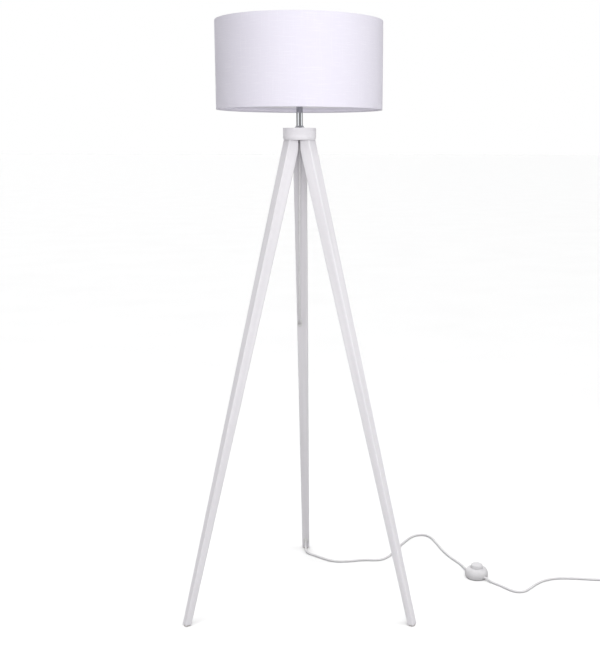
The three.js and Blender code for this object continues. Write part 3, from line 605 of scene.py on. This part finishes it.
def coil_turns():
    """Just over three turns: one outside, one inside it, one on top. Degrees count from the east."""
    step = 20
    points = []
    for degrees in range(-100, 3 * 360 + 1, step):
        inwards = eased_step(degrees, -100, -10) * (COIL_OUTSIDE - COIL_OUTER_TURN)
        inwards += eased_step(degrees, 280, 350) * (COIL_OUTER_TURN - COIL_INNER_TURN)
        outwards = eased_step(degrees, 900, 980) * (COIL_OUTER_TURN - COIL_INNER_TURN)
        radius = COIL_OUTSIDE - inwards + outwards
        from_tie = abs((degrees - TIE_ANGLE + 180) % 360 - 180)
        lift = TIE_THICKNESS * (1 - eased_step(from_tie, 12, 80))
        height = FLOOR_Z + lift + COIL_TOP_TURN_RISE * eased_step(degrees, 570, 650)
        angle = math.radians(degrees)
        around = Vector((radius * math.cos(angle), radius * math.sin(angle), 0))
        points.append(Vector((COIL_CENTRE.x, COIL_CENTRE.y, height)) + around)
    return points


def tail_route():
    """From the coil straight into the plug's strain relief."""
    low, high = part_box("plug_relief")
    x, y, z = (low.x + high.x) / 2, low.y - AXIS.y, (low.z + high.z) / 2
    top = FLOOR_Z + COIL_TOP_TURN_RISE
    route = [(x, COIL_CENTRE.y + 0.02, top - 0.0004), (x, COIL_CENTRE.y + 0.038, (top + z) / 2)]
    return [Vector(point) for point in route + [(x, y - 0.012, z), (x, y + 0.002, z)]]


def add_cords():
    hanging = round_curve("cord_hanging_line", on_lamp(HANGING_ROUTE), CORD_RADIUS)
    put(hanging, "cord_sheath", "cord_hanging")
    in_leg = round_curve("cord_leg_line", on_lamp(LEG_ROUTE), CORD_RADIUS)
    put(in_leg, "cord_sheath", "cord_in_leg")
    to_switch = round_curve("cord_switch_line", on_lamp(SWITCH_ROUTE), CORD_RADIUS)
    put(to_switch, "cord_sheath", "cord_to_switch")
    unseen = coil_turns() + tail_route()
    to_plug = round_curve("cord_plug_line", on_lamp(COIL_ROUTE + unseen), CORD_RADIUS)
    put(to_plug, "cord_sheath", "cord_to_coil", "cord_coil", "cord_tail")
    return hanging, to_switch, to_plug


# ------------------------------------------------------------------ legs


def leg_solid():
    """A leg in its own plane: X outwards from the lamp's axis, Y across, Z up."""
    bm = bmesh.new()
    levels = [
        (LEG_BOTTOM, LEG_FOOT_DEPTH / 2, LEG_FOOT_WIDTH / 2),
        (LEG_TOP, LEG_TOP_DEPTH / 2, LEG_TOP_WIDTH / 2),
    ]
    ends = []
    for z, half_depth, half_width in levels:
        x = leg_radius(z)
        corners = [(-1, -1), (1, -1), (1, 1), (-1, 1)]
        ends.append([bm.verts.new((x + i * half_depth, j * half_width, z)) for i, j in corners])
    bm.faces.new(ends[0][::-1])
    top = bm.faces.new(ends[1])
    for k in range(4):
        after = (k + 1) % 4
        bm.faces.new((ends[0][k], ends[0][after], ends[1][after], ends[1][k]))
    edges = [edge for edge in bm.edges if edge not in top.edges[:]]
    bmesh.ops.bevel(bm, geom=edges, offset=2.8 * MM, segments=5, profile=0.5, affect="EDGES")
    for side in (1, -1):
        mitre = Vector((-math.sin(math.radians(60)), side * math.cos(math.radians(60)), 0))
        every = bm.verts[:] + bm.edges[:] + bm.faces[:]
        cut = bmesh.ops.bisect_plane(
            bm, geom=every, plane_co=mitre * -LEG_MITRE_GAP / 2, plane_no=mitre, clear_outer=True
        )
        edges = [item for item in cut["geom_cut"] if isinstance(item, bmesh.types.BMEdge)]
        bmesh.ops.contextual_create(bm, geom=edges)
    sharp = [edge for edge in bm.edges if edge.calc_face_angle(0) > math.radians(30)]
    bmesh.ops.bevel(bm, geom=sharp, offset=0.8 * MM, segments=2, profile=0.5, affect="EDGES")
    return bm


def add_legs():
    down = Vector((LEG_SLOPE, 0, -1)).normalized()
    out = Vector((1, 0, LEG_SLOPE)).normalized()
    foot = Matrix.Translation((LEG_FOOT_RADIUS, 0, LEG_BOTTOM))
    lean = Matrix((out, (0, 1, 0), -down)).transposed().to_4x4()
    for name, degrees in LEG_ANGLES.items():
        place = Matrix.Translation(AXIS) @ turn("Z", degrees)
        bm = leg_solid()
        bm.transform((foot @ lean).inverted())
        leg = mesh_object(f"leg_{name}_wood", bm, place @ foot @ lean)
        tools = [drill(4.8, -27, 2, place @ Matrix.Translation((BOLT_CIRCLE, 0, LEG_TOP)))]
        if name == "rear":
            tools += [bore_end(LEG_ROUTE[:6], 0), bore_end(LEG_ROUTE[-5:], -1)]
        put(drilled(leg, *tools), "painted_wood", f"leg_{name}")
        pad = turned(eased([(0, 0), (7.5, 0, 0.3), (7.6, 1.2), (7.4, 2.5, 0.4), (0, 2.5)]), segments=48)
        pad = mesh_object(f"felt_{name}", pad, stand(f"foot_pad_{name}"))
        put(pad, "felt_pad", f"foot_pad_{name}")
    upper = in_rear_leg(ENTRY_Z, -0.005, ENTRY_SIDE, 0)
    lower = in_rear_leg(EXIT_Z, -0.0015, 0, 0)
    add_eyelet("upper", upper, ENTRY_Z, 11, 6, -1.55, 6.7)
    add_eyelet("lower", lower, EXIT_Z, 10, 6, 1.0, 5.5)


def bore_end(route, end):
    """A bar along one end of the cord's bore, carried on past the leg's surface."""
    before = route[1] if end == 0 else route[-2]
    beyond = route[end] + (route[end] - before) * 0.7
    points = [beyond] + route if end == 0 else route + [beyond]
    bar = round_curve("bore", on_lamp(points), BORE_RADIUS)
    mesh = evaluated_mesh(bar)
    bpy.data.objects.remove(bar)
    return new_object("bore", mesh)


def add_eyelet(name, place, height, half_length, half_width, hole_shift, hole_half_length):
    """An oval eyelet with a lip round the slanting cord. Its own X runs down the leg."""
    share = (height - LEG_BOTTOM) / (LEG_TOP - LEG_BOTTOM)
    half_depth = (LEG_FOOT_DEPTH + (LEG_TOP_DEPTH - LEG_FOOT_DEPTH) * share) / 2
    outward = -INTO_LEG
    place = place + outward * (half_depth + GAP / 2)
    basis = Matrix((DOWN_LEG, outward.cross(DOWN_LEG), outward)).transposed().to_4x4()
    hole = 1000 * CORD_RADIUS + 0.5
    ovals = [
        (hole_shift, hole_half_length, hole, 0),
        (hole_shift, hole_half_length, hole, 1.9),
        (hole_shift, hole_half_length + 0.4, hole + 0.4, 2.2),
        (hole_shift, hole_half_length + 1.0, hole + 0.9, 2.1),
        (hole_shift * 0.9, hole_half_length + 1.4, hole + 1.3, 1.5),
        (0, half_length - 0.8, half_width - 0.6, 1.2),
        (0, half_length, half_width, 0.7),
        (0, half_length, half_width, 0),
    ]
    bm = bmesh.new()
    rings = []
    count = 64
    for shift, long, short, z in ovals:
        ring = []
        for k in range(count):
            angle = 2 * math.pi * k / count
            x, y = shift + long * math.cos(angle), short * math.sin(angle)
            ring.append(bm.verts.new((MM * x, MM * y, MM * z)))
        rings.append(ring)
    skin(bm, rings)
    plate = mesh_object(f"eyelet_{name}_plate", bm, Matrix.Translation(AXIS + place) @ basis)
    put(plate, "white_plastic", f"eyelet_{name}")


# ------------------------------------------------------------------ hub and stem


def add_hub():
    place = stand("hub_disc")
    top = height_mm("hub_disc")
    profile = eased([(0, 0), (38.1, 0, 0.7), (40, 6, 1.0), (40, top, 1.3), (0, top)])
    hub = mesh_object("hub_wood", turned(profile, segments=160), place)
    tools = [drill(12.5, -1, 15, place), drill(5.3, 10, top + 1, place)]
    for degrees in LEG_ANGLES.values():
        across = turn("Z", degrees) @ Matrix.Translation((BOLT_CIRCLE, 0, 0))
        tools.append(drill(3.3, -1, top - 5, place @ across))
        tools.append(drill(5.7, top - 7, top + 1, place @ across))
    # Painted light: the hub has the legs' paint, but set lighter (white 0.83 against 0.755) to make up
    # for the lamps reaching it less. Its grain runs across.
    hub_grain_and_painted_light = painted_wood("hub_wood", white=0.83, along=(30, 1, 1))
    put(drilled(hub, *tools), "painted_wood", "hub_disc", material=hub_grain_and_painted_light)
    for name in LEG_ANGLES:
        node = f"leg_bolt_{name}"
        bolt = mesh_object(f"bolt_{name}", socket_bolt(height_mm(node)), stand(node))
        put(bolt, "plated_steel", node)
    gland = eased([
        (3.4, 0), (6.4, 0, 0.3), (7.4, 1.3, 0.4), (7.4, 7.6), (5.3, 7.6), (5.3, 3.9), (3.4, 3.9),
    ])
    turned_piece("gland", gland, "white_plastic", "hub_gland")


def socket_bolt(length):
    """A socket-head bolt with a threaded shank. The length is in millimetres."""
    head = 4
    seat = length - head
    shank = grown([(2.5, 0.6), (2.75, seat - 6)], 40)
    outline = [(0, 0), (2.0, 0)] + shank
    outline += eased([(3, seat - 5.5), (3, seat), (5, seat), (5, length, 0.6)])
    socket = [(2.95, length), (2.7, length - 0.3), (2.6, length - 2.2), (0, length - 2.4)]

    def thread(angle, height):
        if height < 0.5 or height > seat - 6:
            return 0
        return 0.2 * math.sin(2 * math.pi * height - angle)

    return turned(outline + socket, segments=32, waves=thread)


def add_stem():
    collar = eased([
        (8.3, 0), (12.3, 0, 0.3), (12.3, 1.1, 0.4), (10.2, 2.2, 1.0), (9.4, 5, 0.3), (8.3, 5),
    ])
    turned_piece("collar", collar, "chrome_plate", "stem_collar")
    height = height_mm("stem_tube")
    tube = eased([(6.5, 0), (8, 0, 0.2), (8, height, 0.3), (6.5, height, 0.3)])
    turned_piece("stem", tube, "chrome_plate", "stem_tube")
    cap = eased([(5.3, 0), (10, 0, 0.3), (10.5, 1.1, 0.5), (10, 2.2, 0.4), (5.3, 2.2)])
    turned_piece("cap", cap, "chrome_plate", "stem_cap")


# ------------------------------------------------------------------ lampholder and bulb


def screw(pitch, depth, start, end):
    """Waves for turned(): a screw thread between two heights."""

    def wave(angle, height):
        inside = eased_step(height, start, start + pitch) - eased_step(height, end - pitch, end)
        return depth * inside * math.sin(2 * math.pi * height / pitch - angle)

    return wave


def add_lampholder():
    cup = eased([
        (5.3, 0), (13, 0, 1), (18, 3.5, 3), (20, 12, 4), (20, 29, 0.3), (18.2, 29), (18.2, 14.5),
        (16.6, 5.6, 2), (12, 2.6, 0.5), (5.3, 2.6),
    ])
    turned_piece("cup", cup, "white_plastic", "holder_cup")
    length = height_mm("holder_skirt")
    outer = grown([(19.5, 4.5), (19.5, length - 1.2)], 110)
    skirt = [(17.2, 0), (19.9, 0), (20, 0.3), (20, 3.8), (19.6, 4.2)] + outer
    skirt += [(18.9, length - 0.3), (18.4, length), (16.2, length), (16, length - 0.3)]
    skirt += [(16, 6.8), (17.2, 5.8)]
    thread = screw(2.0, 0.22, 4.5, length - 1.5)
    bm = turned(skirt, closed=True)
    for vert in bm.verts:
        radius = math.hypot(vert.co.x, vert.co.y)
        if radius > 19.3 * MM:
            grow = 1 + MM * thread(math.atan2(vert.co.y, vert.co.x), vert.co.z / MM) / radius
            vert.co.x *= grow
            vert.co.y *= grow
    put(mesh_object("skirt", bm, stand("holder_skirt"), sharp=60), "white_plastic", "holder_skirt")
    for name, upward in (("lower", -1), ("upper", 1)):
        put(shade_nut(name, upward), "white_plastic", f"shade_nut_{name}")
    shell_length = height_mm("holder_shell")
    wall = [(14.15, 0)] + grown([(14.15, 0.5), (14.15, shell_length - 0.5)], 60)
    wall.append((14.4, shell_length))
    inside = [(radius - 0.45, height) for radius, height in reversed(wall)]
    rolled = screw(3.6, 0.3, 3, shell_length)
    bm = turned(wall + inside, closed=True, waves=rolled, segments=72)
    put(mesh_object("shell", bm, stand("holder_shell"), sharp=60), "brass_contact", "holder_shell")


def shade_nut(name, upward):
    """A ring nut with a fluted grip. Its flange faces the shade's fitter."""
    low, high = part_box(f"shade_nut_{name}")
    profile = eased([
        (20.1, 0), (27.6, 0, 0.3), (28.4, 1.2, 0.5), (28.4, 2.4, 0.4), (24.6, 5.1, 0.6),
        (23.7, 6, 0.3), (20.1, 6),
    ])
    bm = turned(profile, closed=True, segments=192)
    for vert in bm.verts:
        radius = math.hypot(vert.co.x, vert.co.y)
        if radius > 27.9 * MM:
            flute = 0.35 * max(0.0, math.cos(36 * math.atan2(vert.co.y, vert.co.x)))
            vert.co.x -= MM * flute * vert.co.x / radius
            vert.co.y -= MM * flute * vert.co.y / radius
    base = low.z if upward > 0 else high.z
    flip = Matrix.Diagonal((1, upward, upward, 1))
    return mesh_object(f"nut_{name}", bm, Matrix.Translation((AXIS.x, AXIS.y, base)) @ flip)


def add_bulb():
    cap_height = height_mm("bulb_cap")
    foot = eased([(0, 0), (3.8, 0, 0.5), (4.4, 1.2, 0.4), (9.5, 3.2, 0.6), (12.6, 5.2, 0.8)])
    sleeve = grown([(12.9, 6), (12.9, cap_height - 4)], 60)
    cap = foot + sleeve + [(13.0, cap_height - 3.4), (13.1, cap_height), (0, cap_height)]
    thread = screw(3.6, 0.42, 6, cap_height - 4)
    bm = turned(cap, waves=thread, segments=72)
    put(mesh_object("bulb_screw", bm, stand("bulb_cap"), sharp=60), "plated_steel", "bulb_cap")
    low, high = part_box("bulb_globe")
    height = height_mm("bulb_globe")
    globe = 500 * (high.x - low.x)
    neck = eased([(0, 0), (13.0, 0, 0.4), (13.6, 6, 4), (17.8, 21, 7)], 6)
    outline = neck[:-1]
    steps = 28
    for k in range(steps):
        angle = math.radians(-35 + 125 * k / steps)
        outline.append((globe * math.cos(angle), height - globe + globe * math.sin(angle)))
    outline.append((0, height))
    put(mesh_object("bulb_glass", turned(outline), stand("bulb_globe")), "opal_glass", "bulb_globe")


# ------------------------------------------------------------------ shade


def shade_wall():
    """Fabric on its liner: a drum that is very slightly uneven, with a lapped seam at the back."""
    columns, rows = 360, 20
    lap_half_width = 0.006
    wall = 0.0011

    def outer_radius(angle, share):
        uneven = 0.00025 * math.sin(3 * angle + 1) + 0.00018 * math.sin(7 * angle + 4 * share)
        from_seam = abs((angle - math.pi / 2 + math.pi) % (2 * math.pi) - math.pi) * SHADE_RADIUS
        lap = 0.0004 * (1 - eased_step(from_seam, lap_half_width, lap_half_width + 0.0012))
        return SHADE_RADIUS - 0.0006 + uneven + lap

    bm = bmesh.new()
    rings = []
    heights = [k / rows for k in range(rows + 1)]
    for layer, shares in ((0, heights), (1, heights[::-1])):
        for share in shares:
            ring = []
            for k in range(columns):
                angle = 2 * math.pi * k / columns
                radius = outer_radius(angle, share) - (wall if layer else 0)
                z = 0.0003 + share * (SHADE_HEIGHT - 0.0006)
                ring.append(bm.verts.new((radius * math.cos(angle), radius * math.sin(angle), z)))
            rings.append(ring)
    for i, (lower, upper) in enumerate(zip(rings, rings[1:] + rings[:1])):
        for k in range(columns):
            after = (k + 1) % columns
            face = bm.faces.new((lower[k], lower[after], upper[after], upper[k]))
            face.material_index = 1 if i > rows else 0
    return bm


def shade_hem(name, upward):
    """The fabric's end, rolled over the wire ring and glued to the liner inside."""
    inner = 1000 * SHADE_RADIUS - 2.1
    ring, turn_in, cloth = inner - 1.9, 12, 0.45
    path = [(inner + 0.3, -1.2)]
    for angle in [math.radians(degrees) for degrees in range(30, 211, 20)]:
        path.append((ring + 2.4 * math.cos(angle), -2.4 + 2.4 * math.sin(angle)))
    path += [(inner - 1.2, -6.5), (inner - 0.5, -8.5), (inner - 0.4, -turn_in)]
    points = [Vector(p) for p in path]
    inside = []
    for i, point in enumerate(points):
        along = (points[min(i + 1, len(points) - 1)] - points[max(i - 1, 0)]).normalized()
        inside.append(point + cloth * Vector((-along.y, along.x)))
    end = SHADE_HIGH.z if upward > 0 else SHADE_LOW.z
    place = Matrix.Translation((AXIS.x, AXIS.y, end))
    flip = Matrix.Diagonal((1, upward, upward, 1))
    bm = turned([tuple(p) for p in points + inside[::-1]], closed=True, segments=240)
    return mesh_object(f"shade_hem_{name}", bm, place @ flip)


def bar(bm, start, end, radius, sides=14):
    """Adds a round bar between two points."""
    along = end - start
    place = Matrix.Translation((start + end) / 2) @ along.to_track_quat("Z", "Y").to_matrix().to_4x4()
    size = {"radius1": radius, "radius2": radius, "depth": along.length}
    bmesh.ops.create_cone(bm, cap_ends=True, segments=sides, matrix=place, **size)


def add_shade():
    cover = mesh_object("shade_drum", shade_wall(), stand("shade_cover"), sharp=50)
    put(cover, "shade_fabric", "shade_cover")
    cover.data.materials.append(shade_liner())
    hems = [put(shade_hem(name, way), "shade_fabric") for name, way in (("upper", 1), ("lower", -1))]

    low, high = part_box("shade_ring_upper")
    wire = 500 * (high.z - low.z)
    radius = 500 * (high.x - low.x) - wire
    section = round_section(radius, wire, wire)
    turned_piece("wire_upper", section, "white_wire", "shade_ring_upper", segments=160)

    bm = turned(section, closed=True, segments=160)
    fitter = height_mm("shade_frame_lower")
    washer_foot = fitter - 1.5
    washer = [(20.6, washer_foot, 0.4), (32, washer_foot, 0.4), (32, fitter, 0.5), (20.6, fitter, 0.5)]
    turned(eased(washer), closed=True, bm=bm)
    for degrees in LEG_ANGLES.values():
        start = turn("Z", degrees) @ Vector((MM * radius, 0, MM * wire))
        end = turn("Z", degrees) @ Vector((0.0304, 0, MM * (fitter - 0.75)))
        bar(bm, start, end, MM * wire * 0.98)
        for place, size in ((start, 2.1), (end, 1.9)):
            weld = Matrix.Translation(place)
            bmesh.ops.create_icosphere(bm, subdivisions=2, radius=MM * size, matrix=weld)
    wires = mesh_object("wire_lower", bm, stand("shade_frame_lower"))
    put(wires, "white_wire", "shade_frame_lower")


# ------------------------------------------------------------------ foot switch

SWITCH_HEADING = math.radians(-52)


def add_foot_switch():
    centre = middle("switch_base")
    floor = Matrix.Translation((centre.x, centre.y, 0)) @ Matrix.Rotation(SWITCH_HEADING, 4, "Z")
    across = Matrix.Translation((0, 0, SWITCH_CORD_Z)) @ Matrix.Rotation(math.pi / 2, 4, "Y")

    def notches():
        return [drill(3.45, 16, 40, floor @ across), drill(3.45, -40, -16, floor @ across)]

    base = eased([
        (0, 1.8), (29.3, 1.8, 0.6), (30.4, 2.9, 0.5), (31, 7.65, 0.3), (29.2, 7.65), (29.2, 3.8),
        (0, 3.8),
    ])
    base = drilled(mesh_object("switch_tray", turned(base, segments=128), floor), *notches())
    put(base, "switch_plastic", "switch_base")

    dome = []
    for k in range(21):
        angle = math.radians(90 * k / 20)
        dome.append((17.6 + 13.4 * math.cos(angle), 11 + 16 * math.sin(angle)))
    rim = eased([(29.2, 7.95), (31, 7.95, 0.3), (31, 9)])
    lip = eased([
        (17.0, 27.0, 0.3), (16.8, 26.6), (16.8, 25.0), (20, 24.5), (23.6, 22.8, 1.5), (26.2, 20.4, 1.5),
        (28, 17.6, 1), (28.9, 14.8, 1), (29.2, 12),
    ])
    shell = turned(rim + dome + lip, closed=True, segments=128)
    cover = drilled(mesh_object("switch_dome", shell, floor), *notches())
    put(cover, "switch_plastic", "switch_cover")

    button = eased([
        (0, 18.6), (3.5, 18.6), (3.5, 34.3), (13.5, 33.3), (14.5, 22.5), (18, 22.5), (18, 24.1, 0.3),
        (16.3, 24.1), (16.2, 32, 3), (15.2, 35.4, 1.6), (12.4, 36.5, 1.5), (8, 36.2, 2), (0, 36.0),
    ], 5)
    pusher = mesh_object("switch_pusher", turned(button), floor)
    put(pusher, "switch_plastic", "switch_button", body="button")

    grooves = [(0, 0)]
    for k in range(1, 9):
        grooves += [(3 * k, 0), (3 * k + 0.4, 0.5), (3 * k + 1.2, 0.5), (3 * k + 1.6, 0)]
    mat = grooves + eased([(29, 0, 0.2), (29, 1.5, 0.3), (0, 1.5)])
    put(mesh_object("switch_foot", turned(mat), floor), "rubber_mat", "switch_mat")

    inner = ["cassette", "rotor", "spring", "contact_in", "contact_out", "clamp_in", "clamp_out"]
    return [base, cover, pusher, "switch_foot"] + [f"switch_{name}" for name in inner]


# ------------------------------------------------------------------ plug and tie


def lofted(stations, squareness=3.2, count=72):
    """A closed body along Y from (y, half width, half height) stations in millimetres."""
    bm = bmesh.new()
    rings = []
    for y, half_width, half_height in stations:
        ring = []
        for k in range(count):
            c, s = math.cos(2 * math.pi * k / count), math.sin(2 * math.pi * k / count)
            x = half_width * math.copysign(abs(c) ** (2 / squareness), c)
            z = half_height * math.copysign(abs(s) ** (2 / squareness), s)
            ring.append(bm.verts.new((MM * x, MM * y, MM * z)))
        rings.append(ring)
    skin(bm, rings, closed=False)
    bm.faces.new(rings[0][::-1])
    bm.faces.new(rings[-1])
    return bm


def add_plug():
    low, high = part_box("plug_relief")
    place = Matrix.Translation(((low.x + high.x) / 2, low.y, (low.z + high.z) / 2))
    along = place @ Matrix.Rotation(-math.pi / 2, 4, "X")  # turned pieces, with Z laid along the plug

    relief = [(3.1, 0)]
    for k in range(7):
        start, width = 1 + 4 * k, 4.0 + 0.23 * k
        relief += [(width, start), (width + 0.1, start + 2.6)]
        relief += [(width - 0.7, start + 2.9), (width - 0.7, start + 3.7)]
    relief += [(5.4, 29.7), (3.1, 29.7)]
    relief = mesh_object("relief", turned(relief, closed=True, segments=48), along)
    put(relief, "plug_plastic", "plug_relief")

    stations = [
        (30, 5.6, 4.9), (30.3, 6.1, 5.4), (31.5, 6.5, 5.8), (35, 7.6, 6.3), (38, 9.2, 6.6),
        (41, 12, 6.8), (43.5, 15, 6.8), (45.5, 16.9, 6.8), (47, 17.4, 6.8),
    ]
    for k in range(5):
        start = 48 + 2.4 * k
        stations += [(start, 17.5, 6.8), (start + 0.5, 17.3, 6.45)]
        stations += [(start + 1.2, 17.3, 6.45), (start + 1.7, 17.5, 6.8)]
    stations += [(61.5, 17.5, 6.8), (62.5, 17.3, 6.6), (63, 16.8, 6.1)]
    body = put(mesh_object("plug_shell", lofted(stations), place), "plug_plastic", "plug_body")

    pieces = [relief, body]
    for side in ("left", "right"):
        x = middle(f"plug_pin_{side}").x - middle("plug_relief").x
        pin_place = place @ Matrix.Translation((x, 0, 0)) @ Matrix.Rotation(-math.pi / 2, 4, "X")
        sleeve = eased([(0, 62.8), (1.9, 62.8), (1.9, 72.6, 0.15), (0, 72.6)])
        tip = eased([(0, 72.7), (1.85, 72.7), (2.0, 73.0), (2.0, 80.6, 0.5), (1.4, 82, 0.5), (0, 82.3)])
        sleeve = mesh_object(f"pin_sleeve_{side}", turned(sleeve, segments=40), pin_place)
        pin = mesh_object(f"pin_{side}", turned(tip, segments=40), pin_place)
        put(sleeve, "plug_plastic")
        put(pin, "plated_steel", f"plug_pin_{side}")
        pieces += [sleeve, pin]
    return pieces + [add_tie()]


def add_tie():
    """A flat tie round the coil's three cords, in the upright plane across them."""
    reach = CORD_RADIUS + 0.0001
    lowest = FLOOR_Z + TIE_THICKNESS
    centres = [
        Vector((COIL_INNER_TURN, lowest)),
        Vector((COIL_OUTER_TURN, lowest)),
        Vector((COIL_INNER_TURN, lowest + COIL_TOP_TURN_RISE)),
    ]
    outline = []
    for i, centre in enumerate(centres):
        before, after = centre - centres[i - 1], centres[(i + 1) % 3] - centre
        start, end = math.atan2(before.x, -before.y), math.atan2(after.x, -after.y)
        while end < start:
            end += 2 * math.pi
        for k in range(9):
            angle = start + (end - start) * k / 8
            outline.append((centre, Vector((math.cos(angle), math.sin(angle)))))
    bm = bmesh.new()
    half_width = 0.0019
    rings = []
    for centre, out in outline:
        near, far = centre + out * reach, centre + out * (reach + TIE_THICKNESS * 0.85)
        section = [(near, -1), (far, -1), (far, 1), (near, 1)]
        rings.append([bm.verts.new((p.x, side * half_width, p.y)) for p, side in section])
    skin(bm, rings)
    long_edges = [edge for edge in bm.edges if edge.calc_length() > 2 * half_width - 1e-6]
    bmesh.ops.bevel(bm, geom=long_edges, offset=0.0001, segments=1, affect="EDGES")
    centre = AXIS + Vector((COIL_CENTRE.x, COIL_CENTRE.y, 0))
    place = Matrix.Translation(centre) @ turn("Z", TIE_ANGLE)
    return put(mesh_object("tie_band", bm, place, sharp=50), "tie_plastic", "coil_tie")


# ------------------------------------------------------------------ light and floor


def add_stage():
    mesh = bpy.data.meshes.new("floor")
    reach = 200
    corners = [(-reach, -reach, 0), (reach, -reach, 0), (reach, reach, 0), (-reach, reach, 0)]
    mesh.from_pydata(corners, [], [(0, 1, 2, 3)])
    floor = new_object("floor", mesh)
    mesh.materials.append(plain_floor())


def add_light(kind, name, energy, location, target, **settings):
    light = bpy.data.lights.new(name, kind)
    light.energy = energy
    for key, value in settings.items():
        setattr(light, key, value)
    obj = new_object(name, light)
    obj.location = AXIS + Vector(location)
    obj.rotation_euler = (Vector(target) - Vector(location)).to_track_quat("-Z", "Y").to_euler()
    obj.visible_camera = obj.visible_glossy = False


def add_world():
    """A bright studio: soft light and dark panels all round, and plain white behind the lamp."""
    world = bpy.data.worlds.new("studio")
    bpy.context.scene.world = world
    world.use_nodes = True
    nodes, links = world.node_tree.nodes, world.node_tree.links
    background = nodes["Background"]

    def math_node(operation, a, b=0.0, c=0.0):
        node = nodes.new("ShaderNodeMath")
        node.operation = operation
        for socket, value in zip(node.inputs, (a, b, c)):
            if isinstance(value, bpy.types.NodeSocket):
                links.new(value, socket)
            else:
                socket.default_value = value
        return node.outputs[0]

    split = nodes.new("ShaderNodeSeparateXYZ")
    links.new(nodes.new("ShaderNodeTexCoord").outputs["Generated"], split.inputs[0])
    azimuth = math_node("ARCTAN2", split.outputs["X"], split.outputs["Y"])
    panels = math_node("SINE", math_node("MULTIPLY_ADD", azimuth, 3.0, 2.62))
    light = math_node("MULTIPLY_ADD", panels, 0.74, 0.78)
    mix = nodes.new("ShaderNodeMix")
    mix.data_type = "FLOAT"
    links.new(nodes.new("ShaderNodeLightPath").outputs["Is Camera Ray"], mix.inputs[0])
    links.new(light, mix.inputs[2])
    mix.inputs[3].default_value = 1.0
    links.new(mix.outputs[0], background.inputs["Strength"])
    background.inputs["Color"].default_value = (1, 1, 1, 1)


def add_lights():
    add_world()
    add_light("SUN", "overhead", 0.9, (0.1, -0.5, 4), (0, 0, 0), angle=math.radians(35))
    add_light("AREA", "key", 13, (0.34, -1.35, 1.45), (0, 0, 1.3), size=1.2)
    bpy.context.scene.view_settings.view_transform = "Standard"


# ------------------------------------------------------------------ the lamp

SLOT_NODES = {
    "brass_contact": ["holder_contact", "switch_contact_in", "switch_contact_out", "switch_rotor"],
    "plated_steel": ["rod_nut_lower", "rod_nut_upper", "rod_tube", "rod_washer", "switch_spring"],
    "ceramic_white": ["holder_insulator", "switch_cassette"],
    "switch_plastic": ["switch_clamp_in", "switch_clamp_out"],
    "cord_sheath": ["cord_in_stem"],
}


def finish_cad_nodes():
    """The CAD nodes that stay get the detailed materials. The leg inserts are brass."""
    slots = dict(SLOT_NODES)
    slots["brass_contact"] = slots["brass_contact"] + [f"leg_insert_{name}" for name in LEG_ANGLES]
    for slot, nodes in slots.items():
        for name in nodes:
            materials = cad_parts[name].data.materials
            materials.clear()
            materials.append(MATERIALS[slot])


add_camera()
cords = add_cords()
add_legs()
add_hub()
add_stem()
add_lampholder()
add_bulb()
add_shade()
switch_pieces = add_foot_switch()
plug_pieces = add_plug()
finish_cad_nodes()
add_stage()
add_lights()
